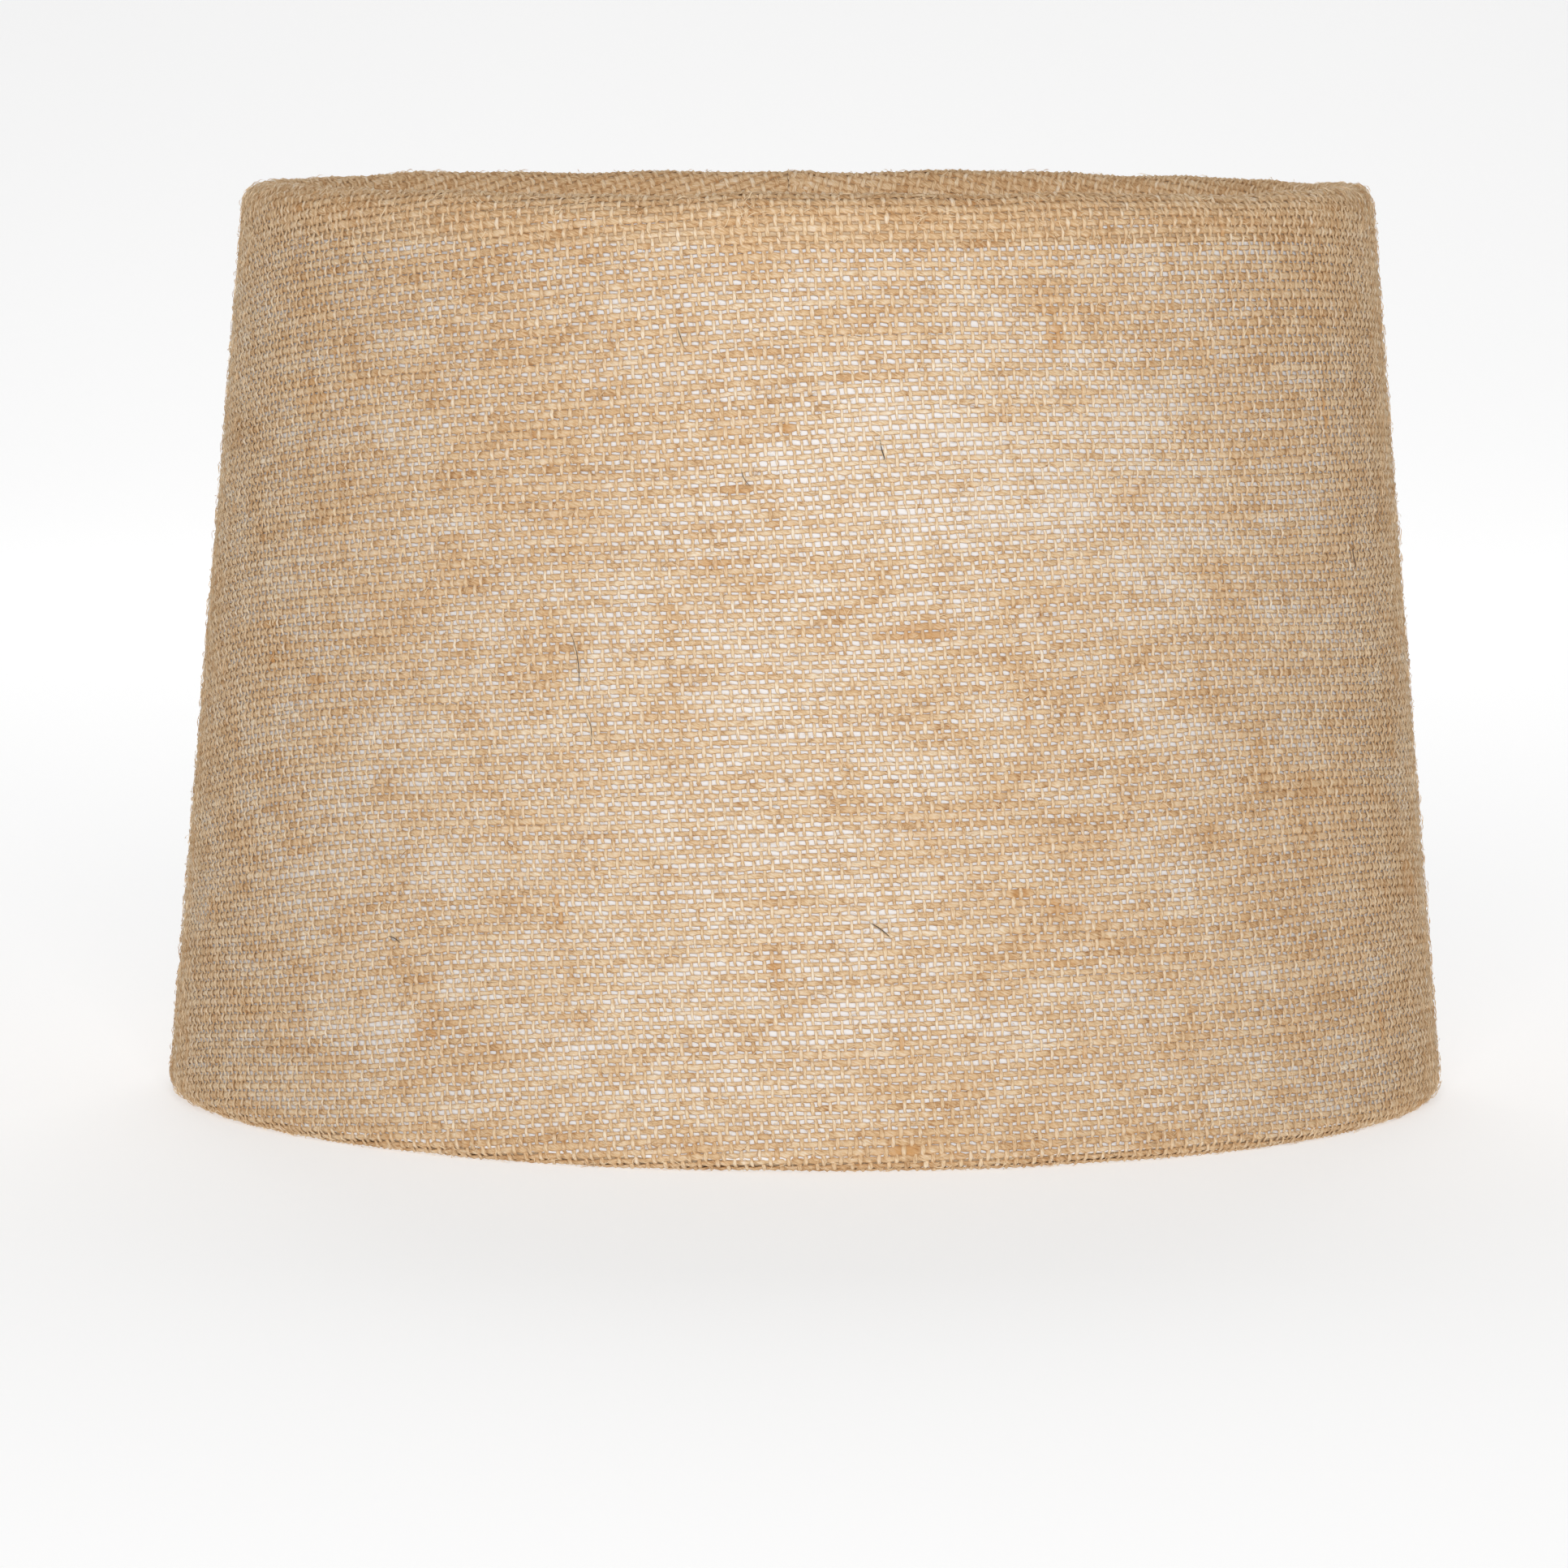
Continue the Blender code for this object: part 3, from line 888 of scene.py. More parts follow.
    def _ripple(self) -> None:
        """Bends the whole cloth softly, both ways, over a few lengths."""
        x, y = self.places[..., 0], self.places[..., 1]
        for wave, reach in ((31.0, 0.5), (53.0, 0.35), (17.0, 0.45)):
            phase = self.rng.uniform(0, math.tau, 4)
            self.places[..., 0] += reach * MM * np.sin(wave * x + 0.7 * wave * y + phase[0])
            self.places[..., 1] += reach * MM * np.sin(0.8 * wave * x + wave * y + phase[1])

    def _turn(self, places: np.ndarray) -> np.ndarray:
        """The angles from the front, round the shade, of flat places."""
        return np.arctan2(places[..., 0], -places[..., 1]) / self.path.drum.sine

    def _near(self, place: Spot) -> np.ndarray:
        """How near each crossing is to a spot, from 0 far away to 1 at its centre."""
        off = self.places - self.path.flat(place.turn, place.height)
        return np.exp(-((off[..., 0] / place.wide) ** 2) - (off[..., 1] / place.tall) ** 2)

    def _along(self, places: np.ndarray) -> np.ndarray:
        """How far along the path flat places are."""
        return self.path.start_slant - np.hypot(places[..., 0], places[..., 1])

    def threads(self, kind: Thread) -> dict[str, np.ndarray]:
        """Every thread of one set, at two stations to a crossing.

        Args:
            kind: Warp or weft.

        Returns:
            Arrays by thread and station: the places of both edges and the middle, then the height, width,
            tone and warmth.
        """
        warp = kind is Thread.WARP
        places = self.places if warp else np.swapaxes(self.places, 0, 1)
        over = -self.over if warp else self.over.T
        count, crossings = over.shape
        stations = 2 * crossings - 1
        rng = self.rng
        full, density_and_shade, rusty, top = (np.zeros((count, stations, *extra)) for extra in ((2,), (), (), ()))
        soft = (self.density_and_shade, self.rusty) if warp else (self.density_and_shade.T, self.rusty.T)
        for spread, crossed in zip((full, density_and_shade, rusty), (places, *soft)):
            spread[:, ::2] = crossed
            spread[:, 1::2] = (crossed[:, :-1] + crossed[:, 1:]) / 2
        top[:, ::2] = over
        if warp:
            upper = np.where(over[:, :-1] > 0, places[:, :-1, 0], places[:, 1:, 0])
            full[:, 1::2, 0] += 0.85 * (upper - full[:, 1::2, 0])
        height = top * self.lift[kind] * (1 + 0.14 * rng.standard_normal((count, stations)))
        swell = 1 + 0.06 * rng.standard_normal((count, 1)) + 0.07 * drift(rng, (count, stations), 9)
        swell = swell + 0.16 * density_and_shade + 0.30 * rusty + 0.07 * rng.standard_normal((count, stations))
        swell = swell * (0.92 + 0.16 * np.maximum(top, 0) - 0.02 * np.maximum(-top, 0))
        slub = self._slubs(count, stations, 0.0004 if warp else 0.0006)
        width = self.width[kind] * np.clip(swell, 0.62, 1.5) * (1 + 0.6 * slub)
        tone = 0.54 + 0.03 * rng.standard_normal((count, 1)) + 0.04 * drift(rng, (count, stations), 24)
        # Denser cloth is coloured darker; this carries the painted shade near the top rim and away from the
        # front.
        tone = tone + 0.06 * drift(rng, (count, stations), 3) - 0.055 * np.minimum(density_and_shade, 2.2)
        tone = tone + 0.06 * rng.standard_normal(top.shape)
        # Painted highlight where a thread lies over the other set, painted shade where it dives under.
        tone = tone + (0.16 if warp else 0.07) * np.maximum(top, 0) - 0.06 * (top == 0) - 0.16 * slub
        # Denser cloth is coloured warmer, which carries the same painted shade.
        warmth = 0.04 + 0.085 * np.minimum(density_and_shade, 1.0) + 0.04 * drift(rng, (count, stations), 6)
        warmth = warmth + 0.6 * slub + 0.75 * rusty
        warmth = warmth + 0.05 * np.maximum(rng.standard_normal((count, 1)) - 1.0, 0)
        heading = np.gradient(full, axis=1)
        heading /= np.linalg.norm(heading, axis=-1, keepdims=True)
        aside = np.stack([heading[..., 1], -heading[..., 0]], axis=-1)[..., None, :]
        frayed = 1 + 0.10 * rng.standard_normal((count, stations, 3))
        edges = width[..., None] * np.array([-0.5, 0.0, 0.5]) * frayed
        across = full[..., None, :] + aside * edges[..., None]
        return {"across": across, "height": height, "width": width, "tone": tone, "warmth": warmth}

    def _slubs(self, count: int, stations: int, chance: float) -> np.ndarray:
        """Soft thick places, from 0 to about 1.

        Args:
            count: How many threads there are.
            stations: How many stations each has.
            chance: The chance of one at a station.

        Returns:
            The thickening, by thread and station.
        """
        slub = np.zeros((count, stations))
        rows, columns = np.nonzero(self.rng.random((count, stations)) < chance)
        sizes, reaches = self.rng.uniform(0.3, 1.0, len(rows)), self.rng.uniform(1.5, 6.0, len(rows))
        for row, column, size, reach in zip(rows, columns, sizes, reaches):
            first, last = max(0, column - 20), min(stations, column + 21)
            near = np.arange(first, last) - column
            slub[row, first:last] += size * np.exp(-((near / reach) ** 2))
        return np.minimum(slub, 1.2)

    def wrap(self, places: np.ndarray, height: np.ndarray) -> np.ndarray:
        """Wraps flat places round the shade, over its rings and through the lapped seam at the back.

        Args:
            places: Flat places, the last axis being right and up.
            height: How far above the middle of the cloth each is.

        Returns:
            Points in space.
        """
        drum = self.path.drum
        turn, along = self._turn(places), self._along(places)
        radius, z, out, rise = self.path.at(along)
        rise_in = np.clip((turn - math.pi + 5 * MM / radius) / (5 * MM / radius), 0, 1)
        roll = np.clip((np.abs(along - self.path.middle) - self.path.reach) / (8 * MM), 0, 1)
        lapped = (1.35 - 1.05 * roll) * MM * rise_in * rise_in * (3 - 2 * rise_in)
        under = np.clip((turn - self.fold_turn) * radius / (1.2 * MM), 0, 1)
        height = height * (1 - 2 * np.minimum(under, 1) * (under > 0.5)) + lapped - 0.55 * MM * under
        turn = np.where(turn > self.fold_turn, 2 * self.fold_turn - turn, turn)
        rim = np.clip((along - self.path.wall_end + 4 * MM) / (8 * MM), 0, 1)
        foot = np.clip((self.path.wall_start + 3 * MM - along) / (6 * MM), 0, 1)
        raised = np.clip((along - self.path.wall_end) / (60 * MM) + 1, 0, 1)
        z = z + raised * self.lifted(turn) + (rim + 0.3 * foot) * self.sag(turn)
        reach = radius + out * height + rim * 0.35 * MM * np.sin(7 * turn + 1.0)
        z = np.maximum(z + rise * height, 0.1 * MM)
        return np.stack([reach * np.sin(turn), -reach * np.cos(turn), z], axis=-1)

    def lifted(self, turn: np.ndarray) -> np.ndarray:
        """How far the top rim is pulled up at an angle from the front."""
        return self.front_lift * ((1 + np.cos(turn)) / 2) ** 2

    @staticmethod
    def sag(turn: np.ndarray) -> np.ndarray:
        """How far a rim wanders up and down at an angle from the front."""
        waves = ((0.34, 5, 0.6), (0.27, 11, 2.2), (0.20, 23, 4.0))
        return sum(size * np.sin(count * turn + phase) for size, count, phase in waves) * MM

    def cut(self, own: slice) -> tuple[float, float, float]:
        """Measures the flat cloth between some warps.

        Args:
            own: Which warps.

        Returns:
            Its width, its length along the warps, and its area.
        """
        kept = self.kept(self.places[own])
        columns, rows = np.flatnonzero(kept.any(axis=1)), np.flatnonzero(kept.any(axis=0))
        step = self.pitch / math.cos(self.skew)
        width, length = np.ptp(columns) + 1, np.ptp(rows) + 1
        return float(width * self.pitch), float(length * step), float(kept.sum() * self.pitch * step)

    def kept(self, places: np.ndarray) -> np.ndarray:
        """Which flat places are inside the cut, and not where a lug comes through the top hem.

        Args:
            places: Flat places.

        Returns:
            True for each that is kept.
        """
        drum = self.path.drum
        turn, along = self._turn(places), self._along(places)
        inside = (along > 0) & (along < self.path.length) & (turn > self.first_turn) & (turn < self.last_turn)
        radius, z, out, _ = self.path.at(along)
        lug = np.abs(np.abs(turn) - math.pi / 2) * radius < 6.2 * MM
        return inside & ~(lug & (z < drum.high_ring.y - 1.5 * MM) & (along > self.path.wall_end + 6 * MM))


@dataclass
class JuteCover:
    """The woven cover, built from its threads in sections round the shade."""

    weave: Weave
    trim: list[bpy.types.Object]
    sections: int = 6
    arch: tuple[float, float, float] = (0.0, 1.0, 0.0)
    crown: float = 0.33
    sink: float = 0.18

    def build(self) -> None:
        """Makes every section, with its warps and wefts woven together."""
        finishes = [WARP_JUTE.material(), WEFT_JUTE.material()]
        warps, wefts = self.weave.threads(Thread.WARP), self.weave.threads(Thread.WEFT)
        bounds = np.linspace(0, self.weave.warps - 1, self.sections + 1).round().astype(int)
        for part, (first, last) in enumerate(zip(bounds, bounds[1:]), start=1):
            own = slice(first, last + (part == self.sections))
            shape = bmesh.new()
            upright = self._strips(shape, warps, own, slice(None), Thread.WARP)
            level = self._strips(shape, wefts, slice(None), slice(2 * first, 2 * last + 1), Thread.WEFT)
            piece = self._finish(f"jute_cover_section_{part}", shape, [upright, level], finishes)
            self._declare(piece, *self.weave.cut(own))

    def _declare(self, piece: bpy.types.Object, width: float, length: float, area: float) -> None:
        """Args:
            piece: The section.
            width: Its flat width; not used.
            length: Its flat length; not used.
            area: Its flat area, with the cut's slanted ends; not used.
        """
        placed(piece, "jute", Body.SHADE, "jute_cover")

    def _strips(
        self, shape: bmesh.types.BMesh, threads: dict[str, np.ndarray], own: slice, span: slice, kind: Thread
    ) -> dict[str, np.ndarray]:
        """Adds arched strips, one for each thread, and works out where their points go.

        Args:
            shape: The bmesh that they are added to.
            threads: The arrays of one set.
            own: Which threads are in the piece.
            span: Which stations are in the piece.
            kind: Warp or weft.

        Returns:
            The points' places and attributes, in the order of the added points.
        """
        weave = self.weave
        across, height, width, tone, warmth = (
            threads[key][own, span] for key in ("across", "height", "width", "tone", "warmth")
        )
        count, stations = height.shape
        body = np.clip(width, 0.7 * MM, 1.5 * MM)[..., None]
        raised = (self.crown * np.array(self.arch) - self.sink) * body
        points = weave.wrap(across, height[..., None] + raised)
        keep = weave.kept(across)

        grid = bmesh.new()
        bmesh.ops.create_grid(grid, x_segments=3 * count - 1, y_segments=stations - 1, size=1.0)
        thread, row, side = self._numbered(grid, count, stations)
        good = keep[thread, row, side]
        spare = [face for face in grid.faces if not self._is_thread(face, side, good)]
        bmesh.ops.delete(grid, geom=spare, context="FACES")
        thread, row, side = self._numbered(grid, count, stations)
        for face in grid.faces:
            face.material_index = int(kind is Thread.WEFT)
        strips = bpy.data.meshes.new("strips")
        grid.to_mesh(strips)
        grid.free()
        shape.from_mesh(strips)
        bpy.data.meshes.remove(strips)
        flat = across[thread, row, side]
        run, off = (flat[:, 1], flat[:, 0]) if kind is Thread.WARP else (flat[:, 0], flat[:, 1])
        apart = np.full(len(run), 70 * MM if kind is Thread.WEFT else 0.0)
        return {
            "points": points[thread, row, side],
            "flat": flat,
            "tone": tone[thread, row],
            "warmth": warmth[thread, row],
            "arch": np.array(self.arch)[side],
            "loom": np.column_stack([run, off + 0.42 * run, apart]) / MM,
        }

    @staticmethod
    def _numbered(
        grid: bmesh.types.BMesh, count: int, stations: int
    ) -> tuple[np.ndarray, np.ndarray, np.ndarray]:
        """Reads which thread, station and side each point of the flat grid is.

        Args:
            grid: The grid, two units wide.
            count: How many threads it has.
            stations: How many stations each has.

        Returns:
            The three numbers of each point.
        """
        places = (np.array([v.co[:2] for v in grid.verts]) + 1) / 2
        column = np.rint(places[:, 0] * (3 * count - 1)).astype(int)
        return column // 3, np.rint(places[:, 1] * (stations - 1)).astype(int), column % 3

    @staticmethod
    def _is_thread(face: bmesh.types.BMFace, side: np.ndarray, good: np.ndarray) -> bool:
        """Whether a grid face is part of a thread, and inside the cut."""
        corners = [v.index for v in face.verts]
        return all(good[i] for i in corners) and {side[i] for i in corners} != {0, 2}

    @staticmethod
    def _finish(
        name: str,
        shape: bmesh.types.BMesh,
        sets: list[dict[str, np.ndarray]],
        finishes: list[bpy.types.Material],
    ) -> bpy.types.Object:
        """Puts the points in place, stores what the finishes read, and links the piece.

        Args:
            name: The piece's name.
            shape: The strips, which are freed.
            sets: What _strips returned, in order.
            finishes: The materials of warp and weft.

        Returns:
            The piece.
        """
        mesh = bpy.data.meshes.new(name)
        shape.to_mesh(mesh)
        shape.free()
        mesh.vertices.foreach_set("co", np.concatenate([s["points"] for s in sets]).ravel())
        for key in ("tone", "warmth", "arch"):
            numbers = np.concatenate([s[key] for s in sets]).astype(np.float32)
            mesh.attributes.new(key, "FLOAT", "POINT").data.foreach_set("value", numbers)
        loom = np.concatenate([s["loom"] for s in sets]).ravel()
        mesh.attributes.new("loom", "FLOAT_VECTOR", "POINT").data.foreach_set("vector", loom)
        halves = []
        for half, threads in enumerate(sets):
            flat = threads["flat"]
            low, high = flat.min(axis=0), flat.max(axis=0)
            unit = (flat - low) / (high - low) * 0.996 + 0.002
            halves.append(unit * (0.5, 1.0) + (0.5 * half, 0.0))
        corners = np.empty(len(mesh.loops), np.int32)
        mesh.loops.foreach_get("vertex_index", corners)
        mesh.uv_layers.new(name="OFBake").data.foreach_set("uv", np.concatenate(halves)[corners].ravel())
        for finish in finishes:
            mesh.materials.append(finish)
        mesh.shade_smooth()
        mesh.update()
        piece = bpy.data.objects.new(name, mesh)
        bpy.context.scene.collection.objects.link(piece)
        return piece


@dataclass
class Fibres:
    """Loose fibres that stand out of the cloth: closed needles with three sides, bent along their length."""

    weave: Weave
    finish: bpy.types.Material
    radius: float = 0.095 * MM
    loft: float = 0.35 * MM
    stations: int = 4
    sides: int = 3

    def scatter(self, name: str, count: int, seed: int) -> bpy.types.Object:
        """Strews fibres over the outer face, thicker along the rims.

        Args:
            name: The piece's name.
            count: How many there are.
            seed: The random source's seed.

        Returns:
            The piece.
        """
        rng = np.random.default_rng(seed)
        path = self.weave.path
        turn = rng.uniform(-math.pi, math.pi, count) * path.drum.sine
        along = rng.uniform(path.wall_start - 4 * MM, path.wall_end + 7 * MM, count)
        rims = rng.choice([path.wall_start, path.wall_end + 3 * MM], count) + rng.normal(0, 3 * MM, count)
        along = np.where(rng.random(count) < 0.05, rims, along)
        slant = path.start_slant - along
        root = np.stack([slant * np.sin(turn), -slant * np.cos(turn)], axis=-1)
        heading = rng.normal(0, 0.55, count) + rng.choice([0, math.pi / 2, math.pi, -math.pi / 2], count)
        reach = np.exp(rng.uniform(math.log(1.5 * MM), math.log(5.0 * MM), count))
        return self._needles(name, rng, root, heading, reach)

    def lay(self, name: str, spots: list[Spot], seed: int) -> bpy.types.Object:
        """Lays fibres at chosen spots, each reaching from one corner of its spot to the other.

        Args:
            name: The piece's name.
            spots: The spots.
            seed: The random source's seed.

        Returns:
            The piece.
        """
        rng = np.random.default_rng(seed)
        size = np.array([(spot.wide, -spot.tall) for spot in spots])
        root = np.array([self.weave.path.flat(spot.turn, spot.height) for spot in spots]) - size
        heading, reach = np.arctan2(size[:, 1], size[:, 0]), 2 * np.hypot(*size.T)
        return self._needles(name, rng, root, heading, reach)

    def _needles(
        self, name: str, rng: np.random.Generator, root: np.ndarray, heading: np.ndarray, reach: np.ndarray
    ) -> bpy.types.Object:
        """Makes the needles.

        Args:
            name: The piece's name.
            rng: The random source.
            root: Where each starts, flat.
            heading: Which way each runs, in radians.
            reach: How long each is.

        Returns:
            The piece.
        """
        count, stations, sides = len(root), self.stations, self.sides
        t = np.linspace(0, 1, stations)[None, :]
        angle = heading[:, None] + rng.normal(0, 0.8, count)[:, None] * (t - 0.5)
        step = np.stack([np.cos(angle), np.sin(angle)], axis=-1) * (reach / (stations - 1))[:, None, None]
        line = root[:, None, :] + np.cumsum(step, axis=1) - step[:, :1]
        loft = self.loft * np.abs(rng.normal(0, 1, count))[:, None]
        height = 0.30 * MM + 0.35 * MM * rng.random((count, 1)) + loft * np.sin(0.85 * math.pi * t)
        thick = self.radius * np.sin(math.pi * t) ** 0.6 * rng.uniform(0.6, 1.3, (count, 1))
        around = np.arange(sides + 1) % sides * math.tau / sides
        aside = np.stack([np.sin(angle), -np.cos(angle)], axis=-1)
        places = line[:, :, None, :] + aside[:, :, None, :] * (thick[..., None] * np.cos(around))[..., None]
        points = self.weave.wrap(places, height[..., None] + thick[..., None] * np.sin(around))
        columns = (sides + 1) * count
        shape = bmesh.new()
        bmesh.ops.create_grid(shape, x_segments=columns - 1, y_segments=stations - 1, size=1.0)
        spots = (np.array([v.co[:2] for v in shape.verts]) + 1) / 2
        column = np.rint(spots[:, 0] * (columns - 1)).astype(int)
        row = np.rint(spots[:, 1] * (stations - 1)).astype(int)
        for vertex, place in zip(shape.verts, points[column // (sides + 1), row, column % (sides + 1)]):
            vertex.co = place
        number = column // (sides + 1)
        spare = [face for face in shape.faces if len({number[v.index] for v in face.verts}) > 1]
        bmesh.ops.delete(shape, geom=spare, context="FACES")
        return placed(finished(name, shape, self.finish), "jute", Body.SHADE)


@dataclass
class Liner:
    """The white sheet behind the cloth, slit at the back; the frame's own strip covers the slit."""

    drum: DrumShape
    steps: int = 180

    def build(self) -> None:
        """Makes the sheet, with a narrow slit at the back, and caps the slit's two edges."""
        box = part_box("liner_panel")
        drum = self.drum
        face = drum.cloth - 0.1 * MM
        back = drum.cloth + drum.gap + 0.5 * MM
        gap = 0.3 * MM / drum.low_ring.x
        low, high = min(box[0].z, 5.5 * MM), max(box[1].z, drum.high_ring.y - 1.5 * MM)
        outline = [drum.wall(face, low), drum.wall(face, high), drum.wall(back, high), drum.wall(back, low)]
        shape = bmesh.new()
        corners = [shape.verts.new((0.0, r, z)) for r, z in outline]
        section = shape.faces.new(corners)
        bmesh.ops.rotate(shape, verts=corners, matrix=Matrix.Rotation(gap, 3, "Z"))
        swept = [section, *corners, *section.edges]
        around = math.tau - 2 * gap
        bmesh.ops.spin(shape, geom=swept, cent=(0, 0, 0), axis=(0, 0, 1), angle=around, steps=self.steps)
        bmesh.ops.contextual_create(shape, geom=[e for e in shape.edges if e.is_boundary])
        piece = finished("liner_sheet", shape, LinerFinish().material())
        placed(piece, "liner", Body.SHADE, "liner_panel")


@dataclass
class RimTape:
    """The tape that holds the cloth round each ring, just under its threads where they turn in."""

    weave: Weave
    under: float = 0.58 * MM
    thick: float = 0.15 * MM
    steps: int = 240

    def build(self, finish: bpy.types.Material) -> None:
        """Makes both tapes, which end short of the lapped seam.

        Args:
            finish: Their material.
        """
        path = self.weave.path
        last = math.pi - 6 * MM / path.drum.low_ring.x
        turn = np.linspace(-math.pi, last, self.steps)[:, None] * path.drum.sine
        for name, start, end in (
            ("bottom_rim_tape", path.wall_start - 15 * MM, path.wall_start + 6 * MM),
            ("top_rim_tape", path.wall_end - 6 * MM, path.wall_end + 17 * MM),
        ):
            along = np.linspace(start, end, 28)
            around = np.concatenate([along, along[::-1], along[:1]])
            deep = np.repeat([self.under, self.under + self.thick, self.under], [len(along), len(along), 1])
            slant = path.start_slant - around
            places = np.stack([slant * np.sin(turn), -slant * np.cos(turn)], axis=-1)
            points = self.weave.wrap(places, np.broadcast_to(-deep, places.shape[:-1]))
            shape = bmesh.new()
            bmesh.ops.create_grid(shape, x_segments=len(around) - 1, y_segments=self.steps - 1, size=1.0)
            for vertex in shape.verts:
                x, y = (vertex.co.xy + Vector((1, 1))) / 2
                vertex.co = points[round(y * (self.steps - 1)), round(x * (len(around) - 1))]
            bmesh.ops.remove_doubles(shape, verts=shape.verts, dist=1e-6)
            bmesh.ops.holes_fill(shape, edges=[e for e in shape.edges if e.is_boundary], sides=0)
            placed(finished(name, shape, finish), "jute", Body.SHADE)


@dataclass
class TopRing:
    """The upper wire ring, which follows the small lift of the top rim."""

    weave: Weave
    steps: int = 180
    sides: int = 16

    def build(self, coat: bpy.types.Material) -> None:
        """Makes the ring.

        Args:
            coat: Its material.
        """
        drum = self.weave.path.drum
        angles = (math.tau * i / self.sides for i in range(self.sides))
        outline = [drum.high_ring + Vector((math.cos(a), math.sin(a))) * drum.wire / 2 for a in angles]
        shape = turned(outline, self.steps)
        for vertex in shape.verts:
            turn = math.atan2(vertex.co.x, -vertex.co.y)
            vertex.co.z += self.weave.lifted(turn) + self.weave.sag(turn)
        placed(finished("top_ring_wire", shape, coat), "white_steel", Body.SHADE, "top_ring")


# Fittings


class Side(Enum):
    """The two ends of the pivot axis."""

    RIGHT = 1
    LEFT = -1

    @property
    def label(self) -> str:
        """The end's name in the frame's nodes."""
        return self.name.lower()

    def turn(self, shape: bmesh.types.BMesh) -> None:
        """Turns a shape made for +X to this side."""
        half_turn = Matrix.Rotation(0 if self is Side.RIGHT else math.pi, 3, "Z")
        bmesh.ops.rotate(shape, verts=shape.verts, matrix=half_turn)


@dataclass
class Pivots:
    """The lugs that hang from the top ring, with their rivets and washers."""

    shank: float = 1.5 * MM
    edge: float = 0.3 * MM
    dome: float = 1.6 * MM
    clearance: float = 0.3 * MM
    steps: int = 48

    def build(self, coat: bpy.types.Material, zinc: bpy.types.Material, nylon: bpy.types.Material) -> None:
        """Makes both pivots.

        Args:
            coat: The lugs' material.
            zinc: The rivets' material.
            nylon: The washers' material.
        """
        for side in Side:
            lug, rivet, washer = (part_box(f"pivot_{kind}_right") for kind in ("lug", "rivet", "washer"))
            self._place("lug", self._lug(lug), coat, "white_steel", side)
            self._place("rivet", self._rivet(rivet, lug), zinc, "rivet_steel", side)
            self._place("washer", self._washer(washer), nylon, "nylon", side)

    @staticmethod
    def _place(
        kind: str, shape: bmesh.types.BMesh, finish: bpy.types.Material, slot: str, side: Side
    ) -> None:
        """Turns a shape to its side and finishes it.

        Args:
            kind: Lug, rivet or washer.
            shape: The shape, made for +X.
            finish: Its material.
            slot: The record's material slot.
            side: Its side.
        """
        side.turn(shape)
        piece = finished(f"{kind}_{side.label}", shape, finish)
        placed(piece, slot, Body.SHADE, f"pivot_{kind}_{side.label}")

    def _lug(self, box: tuple[Vector, Vector]) -> bmesh.types.BMesh:
        """A pressed plate with a round tail and a weld bead where it meets the ring.

        Args:
            box: The lug's box.

        Returns:
            The bmesh.
        """
        half, thick = box[1].y, box[1].x - box[0].x
        tail = arc(Vector((0, box[0].z + half)), half, half, 180, 360, 16)
        shape = bmesh.new()
        outline = [Vector((-half, box[1].z)), *tail, Vector((half, box[1].z))]
        face = shape.faces.new([shape.verts.new((box[0].x, p.x, p.y)) for p in outline])
        pushed = bmesh.ops.extrude_face_region(shape, geom=[face])["geom"]
        moved = [v for v in pushed if isinstance(v, bmesh.types.BMVert)]
        bmesh.ops.translate(shape, verts=moved, vec=(thick, 0, 0))
        rim = [e for e in shape.edges if abs(e.verts[0].co.x - e.verts[1].co.x) < thick / 2]
        bmesh.ops.bevel(
            shape, geom=rim, offset=self.edge, segments=3, profile=0.5, affect="EDGES", material=-1
        )
        middle = (box[0].x + box[1].x) / 2
        add_bead(shape, (middle, 0, box[1].z), (1.2 * MM, half, 0.9 * MM))
        return shape

    def _rivet(self, box: tuple[Vector, Vector], lug: tuple[Vector, Vector]) -> bmesh.types.BMesh:
        """A domed head, a shank, and the clenched end with its punch mark.

        Args:
            box: The rivet's box.
            lug: The lug's box.

        Returns:
            The bmesh.
        """
        head, pivot = (box[1].z - box[0].z) / 2, (box[0].z + box[1].z) / 2
        clench = box[1].x - lug[1].x - self.clearance
        inside, outside = box[0].x + self.dome, box[1].x - clench
        round_top = arc(Vector((0, 0)), head - 0.2 * MM, self.dome, 90, 0, 10)
        line = [Vector((p.x, inside - p.y)) for p in round_top]
        line += [Vector((head, inside - 0.1 * MM)), Vector((head, inside)), Vector((self.shank, inside))]
        line += [Vector((self.shank, outside)), Vector((0.84 * head, outside))]
        line += arc(Vector((0.55 * head, outside)), 0.30 * head, clench, 0, 90, 6)
        line += [Vector((0.35 * head, box[1].x - 0.25 * MM)), Vector((0, box[1].x - 0.4 * MM))]
        shape = turned(line, self.steps, Vector((1, 0, 0)), open_ends=True)
        bmesh.ops.translate(shape, verts=shape.verts, vec=(0, 0, pivot))
        return shape

    def _washer(self, box: tuple[Vector, Vector]) -> bmesh.types.BMesh:
        """A plain washer with rounded edges.

        Args:
            box: The washer's box.

        Returns:
            The bmesh.
        """
        outer, inner, cut = (box[1].z - box[0].z) / 2, self.shank + self.clearance, 0.2 * MM
        low, high = box[0].x, box[1].x
        line = filleted([(inner, low, cut), (outer, low, cut), (outer, high, cut), (inner, high, cut)])
        shape = turned(line, self.steps, Vector((1, 0, 0)))
        bmesh.ops.translate(shape, verts=shape.verts, vec=(0, 0, (box[0].z + box[1].z) / 2))
        return shape


